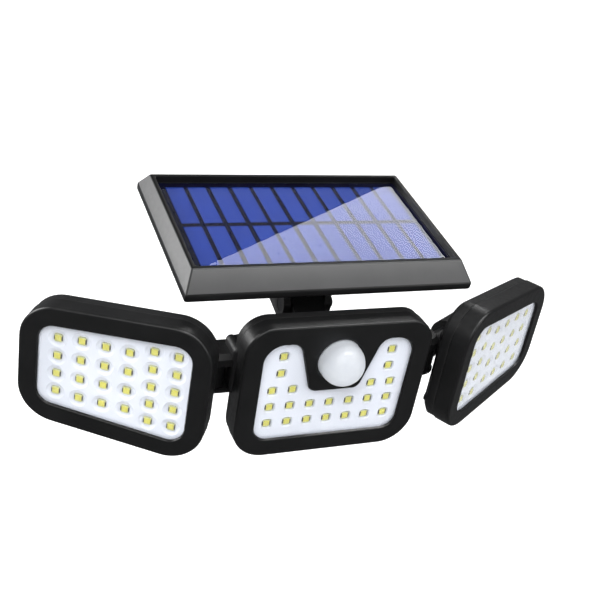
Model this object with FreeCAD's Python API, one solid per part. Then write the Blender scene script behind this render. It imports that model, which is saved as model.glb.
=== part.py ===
import FreeCAD, Part
import math
import os

# Solar security light: one fixed middle head with a motion sensor, two side heads that
# swing and roll, and a solar panel on a tilting hinge above.
#
# Lamp frame, in millimetres: X to the right, Y back towards the wall, Z up, with the
# origin on the front of the middle head's lowest row of LEDs. Every piece is written out
# in the wall frame, whose origin is the centre of the wall plate's back face.

V = FreeCAD.Vector
X_AXIS = V(1, 0, 0)
Y_AXIS = V(0, 1, 0)
Z_AXIS = V(0, 0, 1)

# ---------------------------------------------------------------- driving dimensions
# Placing of the lamp on the wall
wall_distance = 168.0          # wall to the middle head's LED plane
plate_centre = 56.0            # wall plate centre above the lamp frame's origin
foot_centre = 22.0             # bracket foot centre above the lamp frame's origin

# Layers of a head, as distances behind its LED plane
bezel_front = -4.0
lens_front = -2.4
lens_thickness = 1.6
reflector_thickness = 1.6
board_front = 1.0
board_thickness = 1.6
bezel_rear = 9.0
seal_thickness = 0.8
case_wall = 2.6
case_floor = 2.0
layer_gap = 0.1
shell_inset = 0.6              # rear shell inside the bezel's outline
lens_overlap = 2.8             # lens plate behind the window's edge
lens_clearance = 0.15
board_inset = 9.8              # board and reflector inside the bezel's outline
edge_round = 1.8
lip_slope = 1.2                # window's edge, from the bezel's front to the lens

# Light-emitting diodes
led_width = 5.4
led_height = 5.4
led_thickness = board_front
phosphor_width = 4.5
phosphor_depth = 0.3
pocket_clearance = 0.4
dish_flare = 1.5                # side heads' pockets, wider at the front
pocket_flare = 0.7              # the same in the middle head

# Middle head: outline, window and LED grid
mid_half_bottom = 64.6
mid_half_top = 65.3
mid_bottom = -24.2
mid_top = 73.2
mid_round_bottom = 23.0
mid_round_top = 18.5
window_half_bottom = 50.8
window_half_top = 52.0
window_bottom = -11.0
window_top = 60.3
window_round = 10.0
window_round_top = 12.5
notch_half_bottom = 17.3
notch_half_top = 28.7
notch_bottom = 23.8
notch_round_top = 8.5
notch_round_bottom = 6.5
mid_pitch_x = 14.0
mid_pitch_z = 12.55
mid_columns = 7
arm_led_x = 37.9
arm_led_rise = 0.3             # upper LEDs above their row
mid_boss_low = 26.2            # lower screws above the bottom edge
mid_boss_high = 21.0           # upper screws below the top edge
shell_box_rear = 17.0
mid_rear_chamfer = 2.0

# Motion sensor
dome_radius = 14.75
dome_stand = 2.8               # round collar between the bezel and the dome
dome_wall = 1.1
dome_height = 46.6
dome_clearance = 0.15
dome_bevel = 1.6
flange_width = 2.6
flange_thickness = 1.2
flange_gap = 0.5
sensor_radius = 4.6
sensor_length = 4.2
sensor_rim = 0.5
sensor_rim_thickness = 0.6
sensor_window_depth = 0.3
sensor_window_width = 4.0
sensor_window_height = 3.0

# Rear tub of the middle head
tub_half_front = 52.0
tub_half_rear = 46.0
tub_front_bottom = -14.0
tub_rear_bottom = -9.0
tub_front_top = 64.0
tub_rear_top = 50.0
tub_rear = 46.0
tub_wall = 2.5
tub_round = 8.0

# Side heads: outline about the first LED column at the joint end, Z from the roll axis
side_inner = -21.6
side_outer = 98.9
side_half_inner = 48.2
side_half_outer = 39.6
side_round = 24.5
side_window_inner = -9.0
side_window_outer = 86.5
side_window_half_inner = 34.6
side_window_half_outer = 27.2
side_window_round = 10.5
side_pitch = 15.0
side_columns = ((12.64, 5), (12.64, 5), (13.75, 4), (13.75, 4), (13.75, 4), (12.74, 4))
side_rear = 18.0
side_rear_chamfer = 2.7
side_boss_inner = 25.0         # screws above and below the roll axis
side_boss_outer = 14.0

# Swing and roll joints
pivot_x = 76.5
pivot_y = 24.0
joint_height = 28.2
left_swing = 32.0
right_swing = 29.7
arm_reach = 12.5               # pivot to the first LED column
arm_setback = 33.3             # roll axis behind the LED plane
hub_radius = 11.4
hub_top = 16.6                 # upper ear's top above the roll axis
hub_bottom = 13.2              # lower ear's underside below the roll axis
barrel_half_height = 8.5
hub_chamfer = 3.0
shoulder_x = 66.5              # block between the ears and the tub
shoulder_top = 22.5
shoulder_front = 10.0
shoulder_rear = 31.0
shoulder_round = 3.5
barrel_radius = 10.4
joint_gap = 0.2
barrel_gap = 1.0
stub_radius = 7.5
running_clearance = 0.05
socket_start = 36.0            # from the pivot
socket_radius = 12.4
socket_wall_end = 3.0
socket_length = 26.0
groove_start = 4.0             # seal groove inside the socket
groove_width = 1.6
groove_depth = 1.4
seal_play = 0.1
spine_half = 10.2
rib_half = 26.0
rib_thickness = 4.0
washer_thickness = 1.5
washer_radius = 9.6
chamber_radius = 10.2
chamber_length = 8.0
cap_thickness = 1.6
pivot_bolt_radius = 2.5
pivot_head_radius = 4.4
pivot_head_height = 3.0
nut_flats = 8.0
nut_height = 4.0
hinge_nut_height = 2.8

# Screws
screw_radius = 1.5
screw_head_radius = 2.9
screw_head_height = 1.8
boss_radius = 3.2
boss_merge = 0.4                # boss into the side wall
pilot_clearance = 0.1
hole_clearance = 0.25
head_stand = 0.4               # sunk screw head proud of its case
post_wall = 0.6                # shell posts wider than the frame's bosses
pilot_floor = 1.2              # lens seat to the bottom of a frame's pilot hole
tip_gap = 1.0                  # screw tip above the pilot hole's bottom
head_round_share = 0.45        # rounded part of a screw head's height
recess_length_share = 1.1      # cross recess, against the head's radius
recess_width_share = 0.24
recess_depth_share = 0.5
threaded_play = 0.02           # nut bore over its bolt

# Solar panel
panel_tilt = 7.8
panel_width = 189.2
panel_depth = 109.0
panel_y = 82.5
panel_z = 106.3
skirt_side = 5.6
skirt_front = 12.1
skirt_back = 7.8
slope_height = 11.6
lip_height = 5.0
panel_wall = 2.6
rim_width = 3.0
glass_depth = 4.4
glass_thickness = 1.2
cell_thickness = 0.25
backing_thickness = 1.2
cell_columns = 11
cell_rows = 2
cell_margin_side = 6.3         # cells to the rim
cell_margin_end = 5.9
cell_gap = 2.3
row_gap = 2.6
cover_thickness = 2.4
cover_clearance = 0.2
cover_screw_side = 3.0         # cover screws inside the rim's outline
cover_screw_front = 14.0       # cover screws from the skirt's lower edges
cover_screw_back = 12.0
cover_screw_length = 7.0
cover_head_height = 1.4
cover_boss_radius = 3.4
panel_round = 2.0
panel_inner_round = 1.2
ledge_width = 3.0              # shelf under the backing sheet
ledge_thickness = 2.0
ledge_round = 1.5
sheet_clearance = 0.15
sheet_round = 1.0

# Panel hinge
hinge_y = 62.0
hinge_z = 51.0
knuckle_radius = 7.5
lug_half_width = 11.5
clevis_inner = 12.6
clevis_outer = 17.6
clevis_plate_thickness = 3.0
clevis_plate_half_width = 29.0
clevis_plate_half_depth = 24.0
clevis_plate_y = 2.0
clevis_plate_inset = 4.5
clevis_plate_round = 4.0
clevis_screw_reach = 4.5        # clevis screws beyond the plate
clevis_head_height = 1.6
cheek_back = 5.0               # cheeks inside the plate's back and front
cheek_front = 2.0
hinge_play = 0.2               # hinge bolt and nut inside the cheeks
washer_play = 0.05
washer_inset = 0.8             # friction washers inside the knuckle

# Wall bracket
plate_width = 70.0
plate_height = 64.0
plate_thickness = 4.0
plate_round = 8.0
plate_hole_radius = 2.5
plate_hole_x = 50.0
plate_hole_z = 44.0
arm_width = 14.0
arm_height = 18.0
arm_wall = 2.5
arm_round = 3.5
foot_width = 54.0
foot_height = 30.0
foot_thickness = 4.0
foot_screw_x = 42.0
foot_screw_z = 18.0
foot_screw_radius = 2.0
foot_head_radius = 3.6
foot_head_height = 2.6
foot_boss_radius = 4.2
foot_boss_length = 8.0
foot_boss_floor = 1.0           # pilot hole's bottom above the boss's end
foot_round = 4.0
gusset_length = 24.0
gusset_height = 18.0
gusset_nose = 4.0
gusset_half = 3.0
stub_screw_length = 12.0

# Battery, control board and mode button
battery_radius = 9.2
battery_length = 65.0
contact_radius = 3.2
contact_height = 1.5
battery_y = 26.0
battery_z = 5.0
cradle_wall = 1.6
cradle_clearance = 0.3
cradle_side = 3.0              # cradle's walls above the cell's axis
cradle_foot_width = 8.0
cradle_foot_height = 7.0
cradle_foot_drop = 8.0         # feet's underside below the cell's axis
cradle_foot_share = 0.4        # feet along the cradle's half length
control_width = 78.0
control_height = 24.0
control_y = 35.0
control_z = 36.0
post_radius = 2.5
post_x = 14.0
post_z = 16.0
button_x = 34.5
button_z = 38.0
button_radius = 5.5
button_stand = 2.2
button_travel = 1.2
button_flange = 1.4
button_flange_width = 1.6
button_clearance = 0.3
button_round = 0.9
button_seat_gap = 0.05
switch_gap = 0.15               # pressed stem to the switch
switch_size = 6.0
switch_height = 3.0
coil_x = -20.0
coil_radius = 4.0
coil_height = 5.0
capacitor_x = -4.0
capacitor_radius = 3.2
capacitor_height = 8.0
chip_x = 13.0
chip_size = 9.0
chip_height = 1.6
stem_radius = 1.5

# ---------------------------------------------------------------- derived values
lens_rear = lens_front + lens_thickness
reflector_front = lens_rear + layer_gap
board_rear = board_front + board_thickness
shell_front = bezel_rear + seal_thickness
board_plan_gap = 0.5
backing_rear = -(glass_depth + glass_thickness + cell_thickness + backing_thickness
                 + 3 * layer_gap)
cell_field_width = panel_width - 2 * rim_width - 2 * cell_margin_side
cell_field_depth = panel_depth - 2 * rim_width - 2 * cell_margin_end
through = 300.0                # cutter that passes right through any piece


# ---------------------------------------------------------------- general shapes
def rounded_wire(points, radii, depth):
    """Closed wire in the plane Y = depth through (x, z) points with rounded corners."""
    count = len(points)
    starts = []
    ends = []
    mids = []
    for i in range(count):
        corner = V(points[i][0], depth, points[i][1])
        before = V(points[i - 1][0], depth, points[i - 1][1])
        after = V(points[(i + 1) % count][0], depth, points[(i + 1) % count][1])
        to_before = (before - corner).normalize()
        to_after = (after - corner).normalize()
        half = to_before.getAngle(to_after) / 2
        cut = radii[i] / math.tan(half)
        bisector = (to_before + to_after).normalize()
        centre = corner + bisector * (radii[i] / math.sin(half))
        starts.append(corner + to_before * cut)
        ends.append(corner + to_after * cut)
        mids.append(centre - bisector * radii[i])
    edges = []
    for i in range(count):
        edges.append(Part.Arc(starts[i], mids[i], ends[i]).toShape())
        following = starts[(i + 1) % count]
        if ends[i].distanceToPoint(following) > 1e-6:
            edges.append(Part.makeLine(ends[i], following))
    return Part.Wire(edges)


def offset_outline(outline, distance):
    """Move every side of a counter-clockwise outline outwards, and its corner radii with it."""
    points, radii = outline
    count = len(points)
    moved = []
    new_radii = []
    for i in range(count):
        p0 = points[i - 1]
        p1 = points[i]
        p2 = points[(i + 1) % count]
        d1 = unit(p1[0] - p0[0], p1[1] - p0[1])
        d2 = unit(p2[0] - p1[0], p2[1] - p1[1])
        n1 = (d1[1], -d1[0])
        n2 = (d2[1], -d2[0])
        turn = d1[0] * d2[1] - d1[1] * d2[0]
        scale = distance / (1 + n1[0] * n2[0] + n1[1] * n2[1])
        moved.append((p1[0] + (n1[0] + n2[0]) * scale, p1[1] + (n1[1] + n2[1]) * scale))
        grown = radii[i] + distance if turn > 0 else radii[i] - distance
        new_radii.append(max(grown, 0.6))
    return moved, new_radii


def unit(a, b):
    """The direction (a, b) at length one."""
    size = math.hypot(a, b)
    return a / size, b / size


def slab(outline, front, rear):
    """Solid with an (x, z) outline between two depths."""
    points, radii = outline
    face = Part.Face(rounded_wire(points, radii, front))
    return face.extrude(V(0, rear - front, 0))


def tapered_slab(outline, front, rear, rear_offset):
    """Solid whose outline moves by rear_offset from its front to its rear."""
    far = offset_outline(outline, rear_offset)
    wires = [rounded_wire(outline[0], outline[1], front), rounded_wire(far[0], far[1], rear)]
    return Part.makeLoft(wires, True, True)


def box(x0, x1, y0, y1, z0, z1):
    """Box between two corners."""
    return Part.makeBox(x1 - x0, y1 - y0, z1 - z0, V(x0, y0, z0))


def rod(radius, start, direction, length):
    """Cylinder from a start point."""
    return Part.makeCylinder(radius, length, start, direction)


def hexagon(flats, start, direction, length):
    """Hexagonal prism across flats, from a start point."""
    radius = flats / math.sqrt(3)
    points = []
    for i in range(7):
        angle = math.radians(60 * i + 30)
        points.append(V(radius * math.cos(angle), radius * math.sin(angle), 0))
    prism = Part.Face(Part.makePolygon(points)).extrude(V(0, 0, length))
    turn = FreeCAD.Rotation(Z_AXIS, direction)
    prism.Placement = FreeCAD.Placement(start, turn)
    return prism


def joined(shapes):
    """One solid from overlapping shapes."""
    result = shapes[0]
    if len(shapes) > 1:
        result = result.multiFuse(shapes[1:])
    return result.removeSplitter()


def plane_prism(points, x0, x1):
    """Prism along X over a polygon of (y, z) points."""
    corners = [V(x0, y, z) for y, z in points]
    corners.append(corners[0])
    return Part.Face(Part.makePolygon(corners)).extrude(V(x1 - x0, 0, 0))


def pan_screw(tip, direction, length, radius, head_radius, head_height):
    """Screw with a rounded pan head and a cross recess, its tip given."""
    shank = rod(radius, tip, direction, length)
    head_base = tip + direction * length
    head = rod(head_radius, head_base, direction, head_height)
    rim = [edge for edge in head.Edges if edge.Curve.TypeId == "Part::GeomCircle"
           and (edge.Curve.Center - head_base).Length > head_height / 2]
    head = head.makeFillet(head_height * head_round_share, rim)
    turn = FreeCAD.Rotation(Z_AXIS, direction)
    slot_length = head_radius * recess_length_share
    slot_width = head_radius * recess_width_share
    slot_depth = head_height * recess_depth_share
    recess = Part.makeBox(slot_length, slot_width, slot_depth,
                          V(-slot_length / 2, -slot_width / 2, 0))
    cross = Part.makeBox(slot_width, slot_length, slot_depth,
                         V(-slot_width / 2, -slot_length / 2, 0))
    recess = recess.fuse(cross)
    recess.Placement = FreeCAD.Placement(head_base + direction * (head_height - slot_depth), turn)
    return shank.fuse(head).cut(recess).removeSplitter()


# ---------------------------------------------------------------- outlines
def mirrored(half):
    """Full outline from its right half, listed from the bottom up, counter-clockwise."""
    points = [(x, z) for x, z, radius in half]
    radii = [radius for x, z, radius in half]
    points += [(-x, z) for x, z in reversed(points)]
    radii += list(reversed(radii))
    return points, radii


def mid_outline():
    """Face of the middle head: slightly wider at the top, with round corners."""
    return mirrored([
        (mid_half_bottom, mid_bottom, mid_round_bottom),
        (mid_half_top, mid_top, mid_round_top),
    ])


def mid_window():
    """U-shaped window below and beside the motion sensor."""
    return mirrored([
        (window_half_bottom, window_bottom, window_round),
        (window_half_top, window_top, window_round_top),
        (notch_half_top, window_top, notch_round_top),
        (notch_half_bottom, notch_bottom, notch_round_bottom),
    ])


def flipped_up(half):
    """Full outline from its upper half, listed from the outer end in, counter-clockwise."""
    points = [(x, z) for x, z, radius in half]
    radii = [radius for x, z, radius in half]
    points += [(x, -z) for x, z in reversed(points)]
    radii += list(reversed(radii))
    return points, radii


def side_outline():
    """Face of a side head: taller at the joint end, with round corners."""
    return flipped_up([
        (side_outer, side_half_outer, side_round),
        (side_inner, side_half_inner, side_round),
    ])


def side_window():
    """Window of a side head."""
    return flipped_up([
        (side_window_outer, side_window_half_outer, side_window_round),
        (side_window_inner, side_window_half_inner, side_window_round),
    ])


def mid_led_places():
    """LED centres of the middle head as (x, z)."""
    half = mid_columns // 2
    places = []
    for row in range(2):
        for column in range(-half, half + 1):
            places.append((column * mid_pitch_x, row * mid_pitch_z))
    for column in (-half, 1 - half, half - 1, half):
        places.append((column * mid_pitch_x, 2 * mid_pitch_z))
    for row in (3, 4):
        places.append((-arm_led_x, row * mid_pitch_z + arm_led_rise))
        places.append((arm_led_x, row * mid_pitch_z + arm_led_rise))
    return places


def side_led_places():
    """LED centres of a side head as (x, z), from the joint end out."""
    places = []
    for column, (pitch, count) in enumerate(side_columns):
        for row in range(count):
            places.append((column * side_pitch, (row - (count - 1) / 2) * pitch))
    return places


# ---------------------------------------------------------------- pieces of any head
def lens_plate(window):
    """Clear cover plate behind the window."""
    return slab(offset_outline(window, lens_overlap), lens_front, lens_rear)


def frame_shape(outline, window, bosses):
    """Front frame: rounded outer edge, window, seat for the lens plate and screw bosses."""
    outer = slab(outline, bezel_front, bezel_rear)
    front_edges = [edge for edge in outer.Edges
                   if abs(edge.BoundBox.YMax - bezel_front) < 1e-6]
    outer = outer.makeFillet(edge_round, front_edges)
    inside = slab(offset_outline(outline, -case_wall), lens_rear, bezel_rear + 1)
    opening = slab(window, bezel_front - 1, lens_front + 0.5)
    lip = tapered_slab(offset_outline(window, lip_slope), bezel_front - 0.01, lens_front + 0.01,
                       -lip_slope)
    seat = slab(offset_outline(window, lens_overlap + lens_clearance), lens_front, lens_rear + 1)
    shape = outer.cut(inside).cut(opening).cut(lip).cut(seat)
    posts = [rod(boss_radius, V(x, lens_rear, z), Y_AXIS, bezel_rear - lens_rear)
             for x, z in bosses]
    shape = joined([shape] + posts)
    for x, z in bosses:
        pilot = rod(screw_radius + pilot_clearance, V(x, lens_rear + pilot_floor, z), Y_AXIS, through)
        shape = shape.cut(pilot)
    return shape


def reflector_shape(outline, places, flare):
    """White reflector with a tapered pocket at each LED."""
    plate = slab(offset_outline(outline, -board_inset), reflector_front,
                 reflector_front + reflector_thickness)
    half_x = led_width / 2 + pocket_clearance
    half_z = led_height / 2 + pocket_clearance
    rear = reflector_front + reflector_thickness + 0.01
    pockets = []
    for x, z in places:
        pocket = ([(x - half_x, z - half_z), (x + half_x, z - half_z),
                   (x + half_x, z + half_z), (x - half_x, z + half_z)], [1.0] * 4)
        wide = offset_outline(pocket, flare)
        wires = [rounded_wire(wide[0], wide[1], reflector_front - 0.01),
                 rounded_wire(pocket[0], pocket[1], rear)]
        pockets.append(Part.makeLoft(wires, True, True))
    return plate.cut(Part.makeCompound(pockets))


def board_shape(outline):
    """Circuit board that carries the LEDs."""
    return slab(offset_outline(outline, -board_inset - board_plan_gap), board_front, board_rear)


def led_group(places):
    """LED packages, each with a shallow square well for the phosphor."""
    packages = []
    for x, z in places:
        body = box(x - led_width / 2, x + led_width / 2, board_front - led_thickness, board_front,
                   z - led_height / 2, z + led_height / 2)
        well = box(x - phosphor_width / 2, x + phosphor_width / 2, -1, phosphor_depth,
                   z - phosphor_width / 2, z + phosphor_width / 2)
        packages.append(body.cut(well))
    return Part.makeCompound(packages)


def seal_shape(outline, bosses):
    """Rubber seal between the front frame and the rear shell."""
    outer = slab(offset_outline(outline, -shell_inset), bezel_rear, shell_front)
    inner = slab(offset_outline(outline, -case_wall), bezel_rear - 1, shell_front + 1)
    ring = outer.cut(inner)
    pads = [rod(boss_radius, V(x, bezel_rear, z), Y_AXIS, seal_thickness) for x, z in bosses]
    ring = joined([ring] + pads)
    for x, z in bosses:
        ring = ring.cut(rod(screw_radius + pilot_clearance, V(x, 0, z), Y_AXIS, through))
    return ring


def case_screws(bosses, floor_rear):
    """Screws that hold a rear shell to its front frame."""
    seat = floor_rear - screw_head_height + head_stand
    tip = lens_rear + pilot_floor + tip_gap
    return Part.makeCompound([
        pan_screw(V(x, tip, z), Y_AXIS, seat - tip, screw_radius, screw_head_radius,
                  screw_head_height)
        for x, z in bosses
    ])


def screw_passages(shape, bosses, floor_rear):
    """Add shell posts for the case screws, with clearance holes and sunk head seats."""
    posts = [rod(boss_radius + post_wall, V(x, shell_front, z), Y_AXIS, floor_rear - shell_front)
             for x, z in bosses]
    shape = joined([shape] + posts)
    seat = floor_rear - screw_head_height + head_stand
    for x, z in bosses:
        shape = shape.cut(rod(screw_radius + hole_clearance, V(x, 0, z), Y_AXIS, through))
        shape = shape.cut(rod(screw_head_radius + hole_clearance, V(x, seat, z), Y_AXIS, through))
    return shape


# ---------------------------------------------------------------- middle head
def mid_bosses():
    """Places of the middle head's case screws."""
    x_upper = mid_half_top - case_wall - boss_radius + boss_merge
    x_lower = mid_half_bottom - case_wall - boss_radius + boss_merge
    z_upper = mid_top - mid_boss_high
    z_lower = mid_bottom + mid_boss_low
    return [(-x_upper, z_upper), (x_upper, z_upper), (-x_lower, z_lower), (x_lower, z_lower)]


def mid_frame():
    """Front frame of the middle head, with the round opening for the sensor dome."""
    shape = frame_shape(mid_outline(), mid_window(), mid_bosses())
    hole = dome_radius + dome_clearance
    opening = rod(hole, V(0, bezel_front - 1, dome_height), Y_AXIS, through)
    bevel = Part.makeCone(hole + dome_bevel, hole, dome_bevel,
                          V(0, bezel_front - 0.01, dome_height), Y_AXIS)
    return shape.cut(opening).cut(bevel)


def mid_reflector():
    """Reflector of the middle head, cleared round the sensor dome's flange."""
    shape = reflector_shape(mid_outline(), mid_led_places(), pocket_flare)
    clear = dome_radius + flange_width + flange_gap
    return shape.cut(rod(clear, V(0, bezel_front, dome_height), Y_AXIS, through))


def sensor_dome():
    """Hollow dome lens on a round collar, with a flange behind the front frame."""
    centre = V(0, bezel_front - dome_stand, dome_height)
    outer = Part.makeSphere(dome_radius, centre)
    inner = Part.makeSphere(dome_radius - dome_wall, centre)
    keep = rod(dome_radius + 1, centre, -Y_AXIS, dome_radius + 1)
    cap = outer.common(keep)
    neck = rod(dome_radius, centre, Y_AXIS, reflector_front - bezel_front + dome_stand)
    flange = rod(dome_radius + flange_width, V(0, reflector_front, dome_height), Y_AXIS,
                 flange_thickness)
    hollow = rod(dome_radius - dome_wall, centre, Y_AXIS, through)
    return joined([cap, neck, flange]).cut(inner).cut(hollow)


def sensor_can():
    """Motion sensor can on the LED board, with its window."""
    front = board_front - sensor_length
    can = rod(sensor_radius, V(0, front, dome_height), Y_AXIS, sensor_length)
    base = rod(sensor_radius + sensor_rim,
               V(0, board_front - sensor_rim_thickness, dome_height), Y_AXIS,
               sensor_rim_thickness)
    window = box(-sensor_window_width / 2, sensor_window_width / 2, front - 1,
                 front + sensor_window_depth, dome_height - sensor_window_height / 2,
                 dome_height + sensor_window_height / 2)
    return joined([can, base]).cut(window)


def tub_profile(half_width, bottom, top, inset):
    """Rounded rectangle of the tub at one depth."""
    x = half_width - inset
    z0 = bottom + inset
    z1 = top - inset
    radius = tub_round - inset
    return [(-x, z0), (x, z0), (x, z1), (-x, z1)], [radius] * 4


def tub_solid(inset, front, rear):
    """Tapering tub behind the box, its top sloping down to the rear."""
    near = tub_profile(tub_half_front, tub_front_bottom, tub_front_top, inset)
    far = tub_profile(tub_half_rear, tub_rear_bottom, tub_rear_top, inset)
    return Part.makeLoft([rounded_wire(near[0], near[1], front),
                          rounded_wire(far[0], far[1], rear)], True, True)


def hub_ear(inner, low, high, outer_face):
    """One ear of a fork, chamfered round its outer face."""
    plan = box(inner, pivot_x, pivot_y - hub_radius, pivot_y + hub_radius, low, high)
    disc = rod(hub_radius, V(pivot_x, pivot_y, low), Z_AXIS, high - low)
    ear = joined([plan, disc])
    rim = [edge for edge in ear.Edges
           if abs(edge.BoundBox.ZMin - outer_face) < 1e-6
           and abs(edge.BoundBox.ZMax - outer_face) < 1e-6 and edge.BoundBox.XMax > inner + 1]
    return ear.makeChamfer(hub_chamfer, rim)


def hub_shoulder(inner):
    """Rounded block that joins a fork's ears to the tub."""
    block = box(inner, shoulder_x, shoulder_front, shoulder_rear,
                joint_height - hub_bottom + hub_chamfer, joint_height + shoulder_top)
    round_edges = [edge for edge in block.Edges
                   if edge.BoundBox.XMin > shoulder_x - 1e-6
                   or edge.BoundBox.ZMin > joint_height + shoulder_top - 1e-6]
    round_edges = [edge for edge in round_edges if edge.BoundBox.XMax > inner + 1]
    return block.makeFillet(shoulder_round, round_edges)


def hub_fork(side):
    """Two ears and the blocks between them that carry a side head's pivot."""
    inner = tub_half_rear + 1.5
    top = joint_height + hub_top
    bottom = joint_height - hub_bottom
    half_gap = barrel_half_height + joint_gap
    ears = [hub_ear(inner, joint_height + half_gap, top, top),
            hub_ear(inner, bottom, joint_height - half_gap, bottom)]
    web_end = pivot_x - barrel_radius - barrel_gap
    web = box(inner, web_end, pivot_y - hub_radius, pivot_y + hub_radius,
              bottom + hub_chamfer, top - hub_chamfer)
    fork = joined(ears + [web, hub_shoulder(inner)])
    gap = rod(barrel_radius + barrel_gap, V(pivot_x, pivot_y, joint_height - half_gap), Z_AXIS,
              2 * half_gap)
    bore = rod(pivot_bolt_radius + pilot_clearance, V(pivot_x, pivot_y, -through / 2), Z_AXIS,
               through)
    head_seat = rod(pivot_head_radius + hole_clearance,
                    V(pivot_x, pivot_y, top - pivot_head_height - head_stand), Z_AXIS, through)
    nut_seat = hexagon(nut_flats + pilot_clearance, V(pivot_x, pivot_y, bottom - 10), Z_AXIS,
                       10 + nut_height)
    fork = fork.cut(gap).cut(bore).cut(head_seat).cut(nut_seat)
    if side < 0:
        fork = fork.mirror(V(0, 0, 0), X_AXIS)
    return fork


def hinge_lug():
    """Lug on the tub's rear wall that carries the panel hinge."""
    barrel = rod(knuckle_radius, V(-lug_half_width, hinge_y, hinge_z), X_AXIS, 2 * lug_half_width)
    start = tub_rear - tub_wall / 2
    low = foot_centre + foot_height / 2 + 2.0
    web = plane_prism([(start, low),
                       (tub_rear + 0.5, low),
                       (hinge_y + knuckle_radius * 0.72, hinge_z - knuckle_radius * 0.69),
                       (hinge_y, hinge_z),
                       (hinge_y - knuckle_radius * 0.4, hinge_z + knuckle_radius * 0.9),
                       (start, tub_rear_top - 1.0)], -lug_half_width, lug_half_width)
    lug = joined([barrel, web])
    bore = rod(pivot_bolt_radius + running_clearance, V(-through / 2, hinge_y, hinge_z), X_AXIS,
               through)
    return lug.cut(bore)


def foot_screw_places():
    """Centres of the screws that hold the wall bracket's foot."""
    return [(sx * foot_screw_x / 2, foot_centre + sz * foot_screw_z / 2)
            for sx in (-1, 1) for sz in (-1, 1)]


def mid_shell():
    """Rear shell of the middle head: shallow box, tub, joint forks and hinge lug."""
    outline = offset_outline(mid_outline(), -shell_inset)
    inside = offset_outline(mid_outline(), -case_wall)
    case = slab(outline, shell_front, shell_box_rear)
    rear_edges = [edge for edge in case.Edges
                  if abs(edge.BoundBox.YMin - shell_box_rear) < 1e-6]
    case = case.makeChamfer(mid_rear_chamfer, rear_edges)
    tub = tub_solid(0.0, shell_box_rear - case_floor, tub_rear)
    shape = joined([case, tub, hub_fork(1), hub_fork(-1), hinge_lug()])
    shape = shape.cut(slab(inside, shell_front - 1, shell_box_rear - case_floor))
    shape = shape.cut(tub_solid(tub_wall, shell_box_rear - case_floor - 0.5, tub_rear - tub_wall))
    shape = screw_passages(shape, mid_bosses(), shell_box_rear)
    bosses = [rod(foot_boss_radius, V(x, tub_rear - foot_boss_length, z), Y_AXIS,
                  foot_boss_length - 1) for x, z in foot_screw_places()]
    board_rear_face = control_y + board_thickness
    posts = [rod(post_radius, V(x, board_rear_face, z), Y_AXIS, tub_rear - 1 - board_rear_face)
             for x, z in control_post_places()]
    shape = joined([shape] + bosses + posts)
    for x, z in foot_screw_places():
        shape = shape.cut(rod(foot_screw_radius + pilot_clearance,
                              V(x, tub_rear - foot_boss_length + foot_boss_floor, z), Y_AXIS, through))
    hole = rod(button_radius + button_clearance, V(button_x, tub_rear - 2 * tub_wall, button_z),
               Y_AXIS, through)
    return shape.cut(hole)


def battery():
    """Cylindrical cell with its raised contact."""
    start = V(-battery_length / 2, battery_y, battery_z)
    can = rod(battery_radius, start, X_AXIS, battery_length - contact_height)
    tip = rod(contact_radius, start, X_AXIS, battery_length)
    return joined([can, tip])


def battery_cradle():
    """Open-topped cradle that holds the cell, clipped to the tub's floor."""
    hollow_radius = battery_radius + cradle_clearance
    hollow_half = battery_length / 2 + cradle_clearance
    half = hollow_half + cradle_wall
    radius = hollow_radius + cradle_wall
    outer = box(-half, half, battery_y - radius, battery_y + radius, battery_z - radius,
                battery_z + cradle_side)
    inner = rod(hollow_radius, V(-hollow_half, battery_y, battery_z), X_AXIS, 2 * hollow_half)
    above = box(-hollow_half, hollow_half, battery_y - hollow_radius, battery_y + hollow_radius,
                battery_z, battery_z + through)
    foot_low = battery_z - cradle_foot_drop
    feet = [box(x - cradle_foot_width / 2, x + cradle_foot_width / 2, battery_y + radius - 1,
                tub_rear - tub_wall, foot_low, foot_low + cradle_foot_height)
            for x in (-half * cradle_foot_share, half * cradle_foot_share)]
    return joined([outer.cut(inner).cut(above)] + feet)


def control_post_places():
    """Places of the posts that carry the control board."""
    return [(sx * post_x, control_z + sz * post_z / 2)
            for sx in (-1, 1) for sz in (-1, 1)]


def control_board():
    """Control board behind the button, with its switch and larger parts."""
    x0 = -control_width / 2
    board = box(x0, -x0, control_y, control_y + board_thickness,
                control_z - control_height / 2, control_z + control_height / 2)
    rear = control_y + board_thickness
    switch = box(button_x - switch_size / 2, button_x + switch_size / 2, rear,
                 rear + switch_height, button_z - switch_size / 2, button_z + switch_size / 2)
    coil = rod(coil_radius, V(coil_x, control_y, control_z), -Y_AXIS, coil_height)
    capacitor = rod(capacitor_radius, V(capacitor_x, control_y, control_z), -Y_AXIS,
                    capacitor_height)
    chip = box(chip_x - chip_size / 2, chip_x + chip_size / 2, control_y - chip_height, control_y,
               control_z - chip_size / 2, control_z + chip_size / 2)
    return joined([board, switch, coil, capacitor, chip])


def mode_button():
    """Push button in the tub's rear wall, with its flange inside."""
    outer_end = tub_rear + button_stand
    flange_rear = tub_rear - tub_wall - button_seat_gap
    cap = rod(button_radius, V(button_x, flange_rear, button_z), Y_AXIS, outer_end - flange_rear)
    crown = [edge for edge in cap.Edges if abs(edge.BoundBox.YMin - outer_end) < 1e-6]
    cap = cap.makeFillet(button_round, crown)
    flange = rod(button_radius + button_flange_width,
                 V(button_x, flange_rear - button_flange, button_z), Y_AXIS, button_flange)
    switch_top = control_y + board_thickness + switch_height
    stem_front = switch_top + button_travel + switch_gap
    stem = rod(stem_radius, V(button_x, stem_front, button_z), Y_AXIS,
               flange_rear - button_flange - stem_front)
    return joined([cap, flange, stem])


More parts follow.
